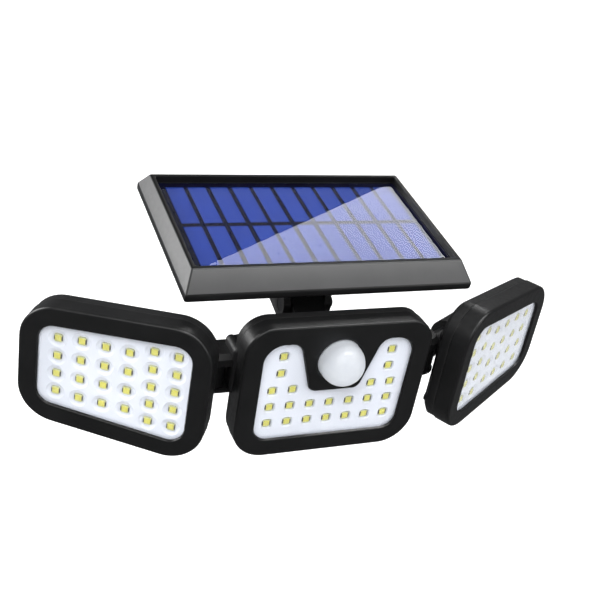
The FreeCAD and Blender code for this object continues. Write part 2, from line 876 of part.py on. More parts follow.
# ---------------------------------------------------------------- swing and roll joints
def knuckle():
    """Upright barrel and level stub, in pivot coordinates with the stub along +X."""
    barrel = rod(barrel_radius, V(0, 0, -barrel_half_height), Z_AXIS, 2 * barrel_half_height)
    stub = rod(stub_radius, V(0, 0, 0), X_AXIS, stub_end())
    groove = groove_ring(stub_radius + 1, 0.0)
    shape = joined([barrel, stub]).cut(groove)
    bore = rod(pivot_bolt_radius + running_clearance, V(0, 0, -through / 2), Z_AXIS, through)
    pilot = rod(foot_screw_radius + pilot_clearance, V(stub_end() - stub_screw_length, 0, 0),
                X_AXIS, through)
    return shape.cut(bore).cut(pilot)


def groove_ring(outer_radius, play):
    """Ring in the stub's seal groove, with play to the groove's sides."""
    start = V(socket_start + groove_start + play, 0, 0)
    width = groove_width - 2 * play
    outer = rod(outer_radius, start, X_AXIS, width)
    return outer.cut(rod(stub_radius - groove_depth, start, X_AXIS, width))


def stub_end():
    """Distance of the stub's end from the pivot."""
    return socket_start + socket_length - chamber_length - socket_wall_end


def stub_seal():
    """Seal ring in the stub's groove."""
    return groove_ring(stub_radius, seal_play)


def stub_washer():
    """Retaining washer on the stub's end."""
    washer = rod(washer_radius, V(stub_end(), 0, 0), X_AXIS, washer_thickness)
    return washer.cut(rod(foot_screw_radius + hole_clearance, V(0, 0, 0), X_AXIS, through))


def stub_screw():
    """Screw that holds the washer to the stub."""
    reach = stub_screw_length - tip_gap
    return pan_screw(V(stub_end() - reach, 0, 0), X_AXIS, reach + washer_thickness,
                     foot_screw_radius, foot_head_radius, foot_head_height)


def pivot_bolt():
    """Upright pivot bolt in pivot coordinates."""
    bottom = -hub_bottom + head_stand
    shank_top = hub_top - head_stand - pivot_head_height
    return pan_screw(V(0, 0, bottom), Z_AXIS, shank_top - bottom, pivot_bolt_radius,
                     pivot_head_radius, pivot_head_height)


def pivot_nut():
    """Hexagon nut sunk in the lower ear."""
    nut = hexagon(nut_flats, V(0, 0, -hub_bottom), Z_AXIS, nut_height)
    return nut.cut(rod(pivot_bolt_radius + threaded_play, V(0, 0, -through / 2), Z_AXIS, through))


# ---------------------------------------------------------------- side heads
def side_bosses():
    """Places of a side head's case screws."""
    x_inner = side_inner + case_wall + boss_radius - boss_merge
    x_outer = side_outer - case_wall - boss_radius + boss_merge
    return [(x_inner, -side_boss_inner), (x_inner, side_boss_inner),
            (x_outer, -side_boss_outer), (x_outer, side_boss_outer)]


def side_frame():
    """Front frame of a side head."""
    return frame_shape(side_outline(), side_window(), side_bosses())


def side_shell():
    """Rear shell of a side head with the socket for the joint's stub."""
    outline = offset_outline(side_outline(), -shell_inset)
    inside = offset_outline(side_outline(), -case_wall)
    case = slab(outline, shell_front, side_rear)
    rear_edges = [edge for edge in case.Edges if abs(edge.BoundBox.YMin - side_rear) < 1e-6]
    case = case.makeChamfer(side_rear_chamfer, rear_edges)
    start = socket_start - arm_reach
    socket = rod(socket_radius, V(start, arm_setback, 0), X_AXIS, socket_length)
    spine_front = side_rear - case_floor / 2
    end = start + socket_length
    near = [(start, -spine_half), (end, -spine_half), (end, spine_half), (start, spine_half)]
    spine = slab((near, [1.0] * 4), spine_front, arm_setback)
    rib_rear = arm_setback - stub_radius / 2
    ribs = []
    for x in (start + rib_thickness, end - 2 * rib_thickness):
        ribs.append(plane_prism([(spine_front, -rib_half), (spine_front, rib_half),
                                 (rib_rear, spine_half), (rib_rear, -spine_half)],
                                x, x + rib_thickness))
    cavity = slab(inside, shell_front - 1, side_rear - case_floor)
    shape = joined([case.cut(cavity), socket, spine] + ribs)
    bore = rod(stub_radius + running_clearance, V(start - 1, arm_setback, 0), X_AXIS,
               stub_end() - arm_reach - start + 1)
    chamber = rod(chamber_radius, V(stub_end() - arm_reach, arm_setback, 0), X_AXIS,
                  chamber_length + socket_wall_end + 1)
    shape = shape.cut(bore).cut(chamber)
    return screw_passages(shape, side_bosses(), side_rear)


def socket_cap():
    """Plug that closes the outer end of the socket."""
    start = socket_start - arm_reach + socket_length
    plug = rod(chamber_radius - pilot_clearance, V(start - socket_wall_end, arm_setback, 0), X_AXIS,
               socket_wall_end)
    rim = rod(socket_radius, V(start, arm_setback, 0), X_AXIS, cap_thickness)
    return joined([plug, rim])


# ---------------------------------------------------------------- solar panel
def panel_rect(half_width, front, back, height, radius):
    """Level rounded rectangle at one height of the panel, in panel coordinates."""
    points = [(-half_width, front), (half_width, front), (half_width, back),
              (-half_width, back)]
    wire = rounded_wire(points, [radius] * 4, -height)
    wire.rotate(V(0, 0, 0), X_AXIS, -90)
    return wire


def panel_solid(rect_low, low, rect_high, high):
    """Solid between two level rounded rectangles (half width, front, back, radius)."""
    a = panel_rect(rect_low[0], rect_low[1], rect_low[2], low, rect_low[3])
    b = panel_rect(rect_high[0], rect_high[1], rect_high[2], high, rect_high[3])
    return Part.makeLoft([a, b], True, True)


def panel_frame():
    """Panel frame: upright lip, sloping skirt, rim and a recess for the glass."""
    half = panel_width / 2
    deep = panel_depth / 2
    base = (half + skirt_side, -deep - skirt_front, deep + skirt_back, panel_round)
    rim = (half, -deep, deep, panel_round)
    total = slope_height + lip_height
    lip = panel_solid(base, -total, base, -slope_height)
    skirt = panel_solid(base, -slope_height, rim, 0.0)
    wall = panel_wall
    base_in = (base[0] - wall, base[1] + wall, base[2] - wall, panel_inner_round)
    low = backing_rear - ledge_thickness
    ratio = -low / slope_height
    mid_in = (half + skirt_side * ratio - wall, -deep - skirt_front * ratio + wall,
              deep + skirt_back * ratio - wall, panel_inner_round)
    opening = (half - rim_width, -deep + rim_width, deep - rim_width, ledge_round)
    ledge = (opening[0] - ledge_width, opening[1] + ledge_width, opening[2] - ledge_width,
             ledge_round)
    shape = joined([lip, skirt])
    shape = shape.cut(panel_solid(base_in, -total - 1, base_in, -slope_height))
    shape = shape.cut(panel_solid(base_in, -slope_height, mid_in, low))
    shape = shape.cut(panel_solid(ledge, low - 1, ledge, backing_rear + 0.5))
    shape = shape.cut(panel_solid(opening, backing_rear, opening, 1))
    return joined([shape] + cover_bosses())


def sheet(margin, top, thickness):
    """Flat sheet inside the rim with a margin all round."""
    half = panel_width / 2 - rim_width - margin
    deep = panel_depth / 2 - rim_width - margin
    rect = (half, -deep, deep, sheet_round)
    return panel_solid(rect, top - thickness, rect, top)


def panel_glass():
    """Clear cover sheet of the panel."""
    return sheet(sheet_clearance, -glass_depth, glass_thickness)


def panel_cells():
    """Solar cells, as separate strips in two rows."""
    top = -glass_depth - glass_thickness - layer_gap
    pitch_x = (cell_field_width + cell_gap) / cell_columns
    pitch_y = (cell_field_depth + row_gap) / cell_rows
    cells = []
    for column in range(cell_columns):
        for row in range(cell_rows):
            x0 = -cell_field_width / 2 + column * pitch_x
            y0 = -cell_field_depth / 2 + row * pitch_y
            cells.append(box(x0, x0 + pitch_x - cell_gap, y0, y0 + pitch_y - row_gap,
                             top - cell_thickness, top))
    return Part.makeCompound(cells)


def panel_backing():
    """Dark backing sheet that carries the cells."""
    top = -glass_depth - glass_thickness - cell_thickness - 2 * layer_gap
    return sheet(sheet_clearance, top, backing_thickness)


def cover_screw_places():
    """Screw centres of the panel's bottom cover."""
    half = panel_width / 2 - cover_screw_side
    front = -panel_depth / 2 - skirt_front + cover_screw_front
    back = panel_depth / 2 + skirt_back - cover_screw_back
    return [(x, y) for x in (-half, half) for y in (front, (front + back) / 2, back)]


def cover_bosses():
    """Posts under the rim that take the cover's screws."""
    low = -slope_height - lip_height + cover_thickness
    height = backing_rear - ledge_thickness / 2 - low
    depth = cover_screw_length - cover_thickness + tip_gap
    posts = []
    for x, y in cover_screw_places():
        post = rod(cover_boss_radius, V(x, y, low), Z_AXIS, height)
        pilot = rod(screw_radius + pilot_clearance, V(x, y, low - 1), Z_AXIS, depth + 1)
        posts.append(post.cut(pilot))
    return posts


def panel_cover():
    """Bottom cover inside the frame's lip."""
    wall = panel_wall + cover_clearance
    half = panel_width / 2 + skirt_side - wall
    front = -panel_depth / 2 - skirt_front + wall
    back = panel_depth / 2 + skirt_back - wall
    low = -slope_height - lip_height
    rect = (half, front, back, panel_inner_round - cover_clearance)
    shape = panel_solid(rect, low, rect, low + cover_thickness)
    for x, y in cover_screw_places():
        shape = shape.cut(rod(screw_radius + hole_clearance, V(x, y, low - 1), Z_AXIS, 10))
    for x, y in clevis_screw_places():
        shape = shape.cut(rod(screw_radius + pilot_clearance, V(x, y, low - 1), Z_AXIS, 10))
    return shape


def cover_screws():
    """Screws of the bottom cover."""
    low = -slope_height - lip_height
    return Part.makeCompound([
        pan_screw(V(x, y, low + cover_screw_length), -Z_AXIS, cover_screw_length, screw_radius,
                  screw_head_radius, cover_head_height)
        for x, y in cover_screw_places()
    ])


def hinge_in_panel():
    """Place of the hinge axis in panel coordinates, as (y, z)."""
    angle = math.radians(panel_tilt)
    dy = hinge_y - panel_y
    dz = hinge_z - panel_z
    return (dy * math.cos(angle) + dz * math.sin(angle),
            dz * math.cos(angle) - dy * math.sin(angle))


def clevis_screw_places():
    """Screws that hold the clevis plate to the cover."""
    x = clevis_plate_half_width - clevis_plate_inset
    y = clevis_plate_half_depth - clevis_plate_inset
    return [(sx * x, clevis_plate_y + sy * y) for sx in (-1, 1) for sy in (-1, 1)]


def panel_clevis():
    """Plate with two cheeks that lean down and forward to the hinge."""
    y, z = hinge_in_panel()
    underside = -slope_height - lip_height
    low = underside - clevis_plate_thickness
    front = clevis_plate_y - clevis_plate_half_depth
    back = clevis_plate_y + clevis_plate_half_depth
    rect = (clevis_plate_half_width, front, back, clevis_plate_round)
    pieces = [panel_solid(rect, low, rect, underside)]
    for sign in (-1, 1):
        x0 = min(sign * clevis_inner, sign * clevis_outer)
        width = clevis_outer - clevis_inner
        pieces.append(rod(knuckle_radius, V(x0, y, z), X_AXIS, width))
        cheek = plane_prism([(y - knuckle_radius * 0.82, z + knuckle_radius * 0.57),
                             (y + knuckle_radius * 0.82, z - knuckle_radius * 0.57),
                             (back - cheek_back, low + 0.5),
                             (front + cheek_front, low + 0.5)], x0, x0 + width)
        pieces.append(cheek)
    shape = joined(pieces)
    shape = shape.cut(rod(pivot_bolt_radius + pilot_clearance, V(-through / 2, y, z), X_AXIS,
                          through))
    nut_seat = hexagon(nut_flats + hinge_play, V(-clevis_outer - 10, y, z), X_AXIS,
                       10 + hinge_nut_height + hinge_play)
    shape = shape.cut(nut_seat)
    for x, sy in clevis_screw_places():
        shape = shape.cut(rod(screw_radius + hole_clearance, V(x, sy, low - 1), Z_AXIS, 10))
    return shape


def clevis_screws():
    """Screws that hold the clevis plate to the panel's cover."""
    underside = -slope_height - lip_height
    low = underside - clevis_plate_thickness
    length = clevis_plate_thickness + clevis_screw_reach
    return Part.makeCompound([
        pan_screw(V(x, y, low + length), -Z_AXIS, length, screw_radius, screw_head_radius,
                  clevis_head_height)
        for x, y in clevis_screw_places()
    ])


def hinge_bolt():
    """Cross bolt of the panel hinge, its head on the right cheek."""
    length = 2 * clevis_outer - hinge_play
    tip = V(-clevis_outer + hinge_play, hinge_y, hinge_z)
    return pan_screw(tip, X_AXIS, length, pivot_bolt_radius, pivot_head_radius, pivot_head_height)


def hinge_nut():
    """Hexagon nut in the left cheek's pocket."""
    start = V(-clevis_outer + hinge_play, hinge_y, hinge_z)
    nut = hexagon(nut_flats, start, X_AXIS, hinge_nut_height)
    nut.rotate(start, X_AXIS, panel_tilt)
    return nut.cut(rod(pivot_bolt_radius + threaded_play, start - X_AXIS * 5, X_AXIS, 20))


def hinge_washers():
    """Friction washers between the lug and the cheeks."""
    thickness = clevis_inner - lug_half_width - 2 * washer_play
    washers = []
    for x in (-clevis_inner + washer_play, lug_half_width + washer_play):
        ring = rod(knuckle_radius - washer_inset, V(x, hinge_y, hinge_z), X_AXIS, thickness)
        washers.append(ring.cut(rod(pivot_bolt_radius + running_clearance,
                                    V(x - 1, hinge_y, hinge_z), X_AXIS, thickness + 2)))
    return Part.makeCompound(washers)


# ---------------------------------------------------------------- wall bracket
def centred_rect(half_width, centre, half_height, radius):
    """Rounded rectangle outline about (0, centre)."""
    points = [(-half_width, centre - half_height), (half_width, centre - half_height),
              (half_width, centre + half_height), (-half_width, centre + half_height)]
    return points, [radius] * 4


def bracket_arm(inset, front, rear):
    """Rising arm between the foot and the wall plate."""
    rise = (plate_centre - foot_centre) / (wall_distance - tub_rear)
    centre = foot_centre + rise * (front - tub_rear)
    outline = centred_rect(arm_width / 2 - inset, centre, arm_height / 2 - inset,
                           arm_round - inset)
    face = Part.Face(rounded_wire(outline[0], outline[1], front))
    return face.extrude(V(0, rear - front, rise * (rear - front)))


def wall_bracket():
    """Wall plate, hollow rising arm and the foot that is screwed to the middle head."""
    plate = slab(centred_rect(plate_width / 2, plate_centre, plate_height / 2, plate_round),
                 wall_distance - plate_thickness, wall_distance)
    foot_rear = tub_rear + foot_thickness
    foot = slab(centred_rect(foot_width / 2, foot_centre, foot_height / 2, foot_round),
                tub_rear, foot_rear)
    arm = bracket_arm(0.0, tub_rear + 1, wall_distance - 1)
    rear = wall_distance - plate_thickness + 0.5
    low = plate_centre - arm_height / 2
    gusset = plane_prism([(rear, low + 2), (rear - gusset_length, low - gusset_nose),
                          (rear, low - gusset_height)], -gusset_half, gusset_half)
    shape = joined([plate, foot, arm, gusset])
    shape = shape.cut(bracket_arm(arm_wall, foot_rear, wall_distance + 1))
    for sx in (-1, 1):
        for sz in (-1, 1):
            start = V(sx * plate_hole_x / 2, wall_distance - 20,
                      plate_centre + sz * plate_hole_z / 2)
            shape = shape.cut(rod(plate_hole_radius, start, Y_AXIS, 40))
    for x, z in foot_screw_places():
        shape = shape.cut(rod(foot_screw_radius + hole_clearance, V(x, tub_rear - 1, z), Y_AXIS, 10))
    return shape


def foot_screws():
    """Screws that hold the bracket's foot to the middle head."""
    tip = tub_rear - foot_boss_length + foot_boss_floor + head_stand
    length = tub_rear + foot_thickness - tip
    return Part.makeCompound([
        pan_screw(V(x, tip, z), Y_AXIS, length, foot_screw_radius, foot_head_radius,
                  foot_head_height)
        for x, z in foot_screw_places()
    ])


# ---------------------------------------------------------------- placing and output
def move(shape, by):
    """Copy of a shape moved by a vector."""
    moved = shape.copy()
    moved.translate(by)
    return moved


def in_pivot(shape):
    """Side head piece from its own LED frame to pivot coordinates."""
    return move(shape, V(arm_reach, -arm_setback, 0))


def at_side(shape, side):
    """Piece in pivot coordinates placed at the right (1) or left (-1) joint."""
    placed = shape.copy()
    if side < 0:
        placed.rotate(V(0, 0, 0), Y_AXIS, 180)
        placed.rotate(V(0, 0, 0), Z_AXIS, -left_swing)
    else:
        placed.rotate(V(0, 0, 0), Z_AXIS, right_swing)
    placed.translate(V(side * pivot_x, pivot_y, joint_height))
    return placed


def at_fork(shape, side):
    """Upright piece placed on a joint's pivot without turning it."""
    return move(shape, V(side * pivot_x, pivot_y, joint_height))


def on_panel(shape):
    """Piece in panel coordinates placed on the tilted panel."""
    placed = shape.copy()
    placed.rotate(V(0, 0, 0), X_AXIS, panel_tilt)
    placed.translate(V(0, panel_y, panel_z))
    return placed


def build():
    """All pieces by node name, in the lamp frame."""
    outline = mid_outline()
    pieces = {
        "wall_bracket": wall_bracket(),
        "bracket_screws": foot_screws(),
        "middle_frame": mid_frame(),
        "middle_shell": mid_shell(),
        "middle_lens": lens_plate(mid_window()),
        "middle_reflector": mid_reflector(),
        "middle_board": board_shape(outline),
        "middle_leds": led_group(mid_led_places()),
        "middle_seal": seal_shape(outline, mid_bosses()),
        "middle_screws": case_screws(mid_bosses(), shell_box_rear),
        "sensor_dome": sensor_dome(),
        "sensor_can": sensor_can(),
        "battery": battery(),
        "battery_cradle": battery_cradle(),
        "control_board": control_board(),
        "mode_button": mode_button(),
        "panel_frame": on_panel(panel_frame()),
        "panel_glass": on_panel(panel_glass()),
        "panel_cells": on_panel(panel_cells()),
        "panel_backing": on_panel(panel_backing()),
        "panel_cover": on_panel(panel_cover()),
        "panel_cover_screws": on_panel(cover_screws()),
        "panel_clevis": on_panel(panel_clevis()),
        "panel_clevis_screws": on_panel(clevis_screws()),
        "hinge_bolt": hinge_bolt(),
        "hinge_nut": hinge_nut(),
        "hinge_washers": hinge_washers(),
    }
    side = side_outline()
    heads = {
        "frame": side_frame(),
        "shell": side_shell(),
        "lens": lens_plate(side_window()),
        "reflector": reflector_shape(side, side_led_places(), dish_flare),
        "board": board_shape(side),
        "leds": led_group(side_led_places()),
        "seal": seal_shape(side, side_bosses()),
        "screws": case_screws(side_bosses(), side_rear),
        "socket_cap": socket_cap(),
    }
    arm = {
        "knuckle": knuckle(),
        "stub_seal": stub_seal(),
        "stub_washer": stub_washer(),
        "stub_screw": stub_screw(),
    }
    for label, sign in (("left", -1), ("right", 1)):
        for name, shape in heads.items():
            pieces[label + "_" + name] = at_side(in_pivot(shape), sign)
        for name, shape in arm.items():
            pieces[label + "_" + name] = at_side(shape, sign)
        pieces[label + "_pivot_bolt"] = at_fork(pivot_bolt(), sign)
        pieces[label + "_pivot_nut"] = at_fork(pivot_nut(), sign)
    return pieces


def main():
    """Write one file per piece, in the wall frame."""
    os.makedirs("parts", exist_ok=True)
    to_wall = V(0, -wall_distance, -plate_centre)
    for name, shape in build().items():
        placed = move(shape, to_wall)
        if not placed.isValid():
            print("not valid:", name)
        placed.exportStep(os.path.join("parts", name + ".step"))


main()
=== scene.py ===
"""Looks of the three-head solar security light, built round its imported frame."""

import logging
import math
from dataclasses import dataclass, field
from enum import Enum
from typing import Sequence

import bmesh
import bpy
import numpy as np
from mathutils import Matrix, Vector
from mathutils.geometry import tessellate_polygon
from numpy.typing import NDArray


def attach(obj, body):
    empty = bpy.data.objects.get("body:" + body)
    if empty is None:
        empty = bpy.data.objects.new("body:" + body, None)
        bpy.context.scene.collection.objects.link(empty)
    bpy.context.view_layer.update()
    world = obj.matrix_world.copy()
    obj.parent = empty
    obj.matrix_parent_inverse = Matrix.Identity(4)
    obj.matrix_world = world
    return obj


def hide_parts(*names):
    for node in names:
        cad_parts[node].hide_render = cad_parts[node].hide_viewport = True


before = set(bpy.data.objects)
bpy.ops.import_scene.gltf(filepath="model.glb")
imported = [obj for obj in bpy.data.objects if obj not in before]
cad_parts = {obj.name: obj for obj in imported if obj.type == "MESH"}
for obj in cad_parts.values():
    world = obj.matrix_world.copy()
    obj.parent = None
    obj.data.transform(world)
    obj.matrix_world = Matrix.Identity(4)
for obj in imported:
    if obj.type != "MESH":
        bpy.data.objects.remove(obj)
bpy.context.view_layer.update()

Array = NDArray[np.float64]
Corner = tuple[float, float, float]
Colour = tuple[float, float, float]
Profile = Sequence[tuple[float, float]]

MM = 0.001
LOG = logging.getLogger("security_light")


def stand_in(piece: bpy.types.Object, node: str, body: str) -> bpy.types.Object:
    """Puts a piece in the place of a node.

    Args:
        piece: The new piece.
        node: The node that it stands for.
        body: The body that it moves with.

    Returns:
        The piece.
    """
    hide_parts(node)
    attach(piece, body)
    LOG.info("%s: %d faces", piece.name, len(piece.data.polygons))
    return piece


# ------------------------------------------------------------------ places
@dataclass(frozen=True)
class Placement:
    """Rigid placing of local millimetres in the row frame's metres.

    A point p goes to (R p + origin) / 1000.
    """

    rotation: Matrix
    origin: tuple[float, float, float]

    def apply(self, points: Array) -> Array:
        """Places local points.

        Args:
            points: (n, 3) local points in millimetres.

        Returns:
            (n, 3) points in metres.
        """
        turn = np.array(self.rotation.to_3x3(), dtype=float)
        return (points @ turn.T + np.array(self.origin)) * MM


class Side(Enum):
    """The three heads by where they sit."""

    LEFT = "left"
    MIDDLE = "middle"
    RIGHT = "right"


WALL_DISTANCE = 168.0            # LED plane of the middle head to the wall
PLATE_CENTRE = 56.0              # wall plate's centre above the middle head's lowest LEDs
PIVOT = (76.5, 24.0 - WALL_DISTANCE, 28.2 - PLATE_CENTRE)
ARM_REACH = 12.5                 # pivot to a side head's first LED column, along the head
ARM_SETBACK = 33.3               # pivot to a side head's LED plane
SWING = {Side.LEFT: 32.0, Side.RIGHT: 29.7}
PANEL_TILT = 7.8
DOME_HEIGHT = 46.6               # sensor dome's centre above the middle head's lowest LEDs
PANEL_ORIGIN = (0.0, 82.5 - WALL_DISTANCE, 106.3 - PLATE_CENTRE)


def head_placement(side: Side) -> Placement:
    """Where a head's own frame sits: X along it, Y behind its LED plane, Z up.

    Args:
        side: Which head.

    Returns:
        Its placing in the row frame.
    """
    if side is Side.MIDDLE:
        return Placement(Matrix.Identity(3), (0.0, -WALL_DISTANCE, -PLATE_CENTRE))
    offset = Vector((ARM_REACH, -ARM_SETBACK, 0.0))
    if side is Side.RIGHT:
        turn = Matrix.Rotation(math.radians(SWING[side]), 3, "Z")
        pivot = Vector(PIVOT)
    else:
        turn = Matrix.Rotation(-math.radians(SWING[side]), 3, "Z") @ Matrix.Rotation(math.pi, 3, "Y")
        pivot = Vector((-PIVOT[0], PIVOT[1], PIVOT[2]))
    return Placement(turn, tuple(turn @ offset + pivot))


def panel_placement() -> Placement:
    """Where the panel's own frame sits: X along it, Y back, Z out of the glass."""
    return Placement(Matrix.Rotation(math.radians(PANEL_TILT), 3, "X"), PANEL_ORIGIN)


# ------------------------------------------------------------------ outlines
@dataclass(frozen=True)
class Loop:
    """Closed outline in a head's (x, z) plane with its outward unit normals."""

    points: Array
    normals: Array

    def offset(self, distance: float) -> Array:
        """The outline moved outwards: p + distance * n at every point."""
        return self.points + self.normals * distance

    @property
    def count(self) -> int:
        """How many points the loop has."""
        return len(self.points)


def rounded_loop(corners: Sequence[Corner], steps: int = 9) -> Loop:
    """Polygon with an arc at each corner.

    For a corner c between sides with outward normals n1 and n2, the arc's centre is
    c - s r (n1 + n2) / (1 + n1.n2), with s = +1 where the outline turns left and -1 where it
    turns right, and its points are centre + s r n(t), n turning evenly from n1 to n2.

    Args:
        corners: (x, z, radius) corners, counter-clockwise.
        steps: Points on each arc.

    Returns:
        The loop.
    """
    data = np.array(corners, dtype=float)
    at, radius = data[:, :2], data[:, 2]
    into = at - np.roll(at, 1, axis=0)
    out = np.roll(at, -1, axis=0) - at
    into /= np.linalg.norm(into, axis=1, keepdims=True)
    out /= np.linalg.norm(out, axis=1, keepdims=True)
    n1 = np.stack([into[:, 1], -into[:, 0]], axis=1)
    n2 = np.stack([out[:, 1], -out[:, 0]], axis=1)
    turn = np.arctan2(into[:, 0] * out[:, 1] - into[:, 1] * out[:, 0], (into * out).sum(1))
    sign = np.sign(turn)
    reach = (n1 + n2) / (1 + (n1 * n2).sum(1, keepdims=True))
    centre = at - reach * (sign * radius)[:, None]
    angle = np.arctan2(n1[:, 1], n1[:, 0])[:, None] + turn[:, None] * np.linspace(0, 1, steps)
    normals = np.stack([np.cos(angle), np.sin(angle)], axis=2)
    points = centre[:, None, :] + normals * (sign * radius)[:, None, None]
    return Loop(points.reshape(-1, 2), normals.reshape(-1, 2))


def round_loop(centre: tuple[float, float], radius: float, count: int = 72) -> Loop:
    """Circle: centre + r (cos t, sin t)."""
    angle = np.arange(count) * 2 * math.pi / count
    normals = np.stack([np.cos(angle), np.sin(angle)], axis=1)
    return Loop(np.array(centre) + normals * radius, normals)


def soft_squares(centres: Array, half: float, power: float, count: int) -> Array:
    """Superellipses |x|^p + |z|^p = h^p about each centre.

    Args:
        centres: (k, 2) centres.
        half: Half width h.
        power: Exponent p, 2 for a circle and more for a squarer form.
        count: Points on each.

    Returns:
        (k, count, 2) points.
    """
    angle = (np.arange(count) + 0.5) * 2 * math.pi / count
    c, s = np.cos(angle), np.sin(angle)
    reach = half / (np.abs(c) ** power + np.abs(s) ** power) ** (1 / power)
    ring = np.stack([c * reach, s * reach], axis=1)
    return centres[:, None, :] + ring[None, :, :]


def mirrored(half: Sequence[Corner]) -> list[Corner]:
    """Whole outline from its right half, bottom to top."""
    return list(half) + [(-x, z, r) for x, z, r in reversed(half)]


def flipped(half: Sequence[Corner]) -> list[Corner]:
    """Whole outline from its upper half, outer end to joint end."""
    return list(half) + [(x, -z, r) for x, z, r in reversed(half)]


# ------------------------------------------------------------------ mesh building
@dataclass
class Surface:
    """Collects grids and flat fills into one closed mesh."""

    points: list[Array] = field(default_factory=list)
    faces: list[list[int]] = field(default_factory=list)
    slots: list[int] = field(default_factory=list)
    size: int = 0

    def add_points(self, points: Array) -> Array:
        """Adds points of any grid shape (..., 3) and returns their indices (...)."""
        flat = points.reshape(-1, 3)
        index = np.arange(self.size, self.size + len(flat)).reshape(points.shape[:-1])
        self.points.append(flat)
        self.size += len(flat)
        return index

    def add_faces(self, index: Array, slot: int | Array = 0) -> None:
        """Adds (n, k) faces, with one material slot for all or one for each."""
        self.faces.extend(index.tolist())
        self.slots.extend(np.broadcast_to(slot, len(index)).tolist())

    def join(self, index: Array, slot: int | Array = 0) -> None:
        """Quads over a grid of indices.

        Args:
            index: (n, m) indices, n along the way that joins up with itself.
            slot: Material slot of the faces, or one for each face.
        """
        following = np.roll(index, -1, axis=0)
        quads = np.stack([index[:, :-1], index[:, 1:], following[:, 1:], following[:, :-1]], axis=2)
        self.add_faces(quads.reshape(-1, 4), slot)

    def fill(self, loops: Sequence[tuple[Array, Array]]) -> None:
        """Flat triangles between an outer loop and its holes.

        Args:
            loops: Each loop as its indices and its (n, 2) points, the outer one first.
        """
        index = np.concatenate([ring for ring, flat in loops])
        tris = tessellate_polygon([[Vector((x, z, 0.0)) for x, z in flat] for ring, flat in loops])
        self.add_faces(index[np.array(tris)])

    def close_end(self, ring: Array, centre: Sequence[float], slot: int = 0) -> None:
        """Fan from a ring of indices to one point."""
        tip = self.add_points(np.array([centre]))
        self.add_faces(np.stack([ring, np.roll(ring, -1), np.repeat(tip, len(ring))], axis=1), slot)

    def build(self, name: str, placement: Placement, materials: Sequence[bpy.types.Material],
              sharp: float = 32.0) -> bpy.types.Object:
        """Makes the object, its faces turned outwards and its creases kept.

        Args:
            name: Piece name.
            placement: Where the local points go.
            materials: One per slot.
            sharp: Angle in degrees past which an edge stays sharp.

        Returns:
            The object, at the origin.
        """
        mesh = bpy.data.meshes.new(name)
        mesh.from_pydata(placement.apply(np.concatenate(self.points)).tolist(), [], self.faces)
        for material in materials:
            mesh.materials.append(material)
        mesh.polygons.foreach_set("material_index", self.slots)
        work = bmesh.new()
        work.from_mesh(mesh)
        bmesh.ops.recalc_face_normals(work, faces=work.faces)
        work.to_mesh(mesh)
        work.free()
        mesh.polygons.foreach_set("use_smooth", [True] * len(mesh.polygons))
        mesh.set_sharp_from_angle(angle=math.radians(sharp))
        mesh.update()
        piece = bpy.data.objects.new(name, mesh)
        bpy.context.scene.collection.objects.link(piece)
        return piece


def plane_points(flat: Array, depth: float) -> Array:
    """(x, z) points at one depth as (x, y, z) points."""
    return np.stack([flat[..., 0], np.full(flat.shape[:-1], depth), flat[..., 1]], axis=-1)


def profile_at(profile: Profile, offset: float, depth: float) -> list[tuple[float, float]]:
    """A profile moved by an outward offset and a depth."""
    return [(offset + out, depth + down) for out, down in profile]


def swept(loop: Loop, profile: Profile) -> Array:
    """Profile carried round an outline: grid point (i, j) is p_i + n_i * offset_j at depth_j.

    Args:
        loop: The outline.
        profile: (outward offset, depth) pairs.

    Returns:
        (points of the loop, points of the profile, 3) grid.
    """
    section = np.array(profile, dtype=float)
    flat = loop.points[:, None, :] + loop.normals[:, None, :] * section[None, :, :1]
    depth = np.broadcast_to(section[None, :, 1], flat.shape[:2])
    return np.stack([flat[..., 0], depth, flat[..., 1]], axis=-1)


def arc_profile(centre: tuple[float, float], radius: float, start: float, end: float,
                count: int = 7) -> list[tuple[float, float]]:
    """Arc in a profile: centre + r (sin a, -cos a), a in degrees from start to end."""
    angle = np.radians(np.linspace(start, end, count))
    return [(centre[0] + radius * math.sin(a), centre[1] - radius * math.cos(a)) for a in angle]


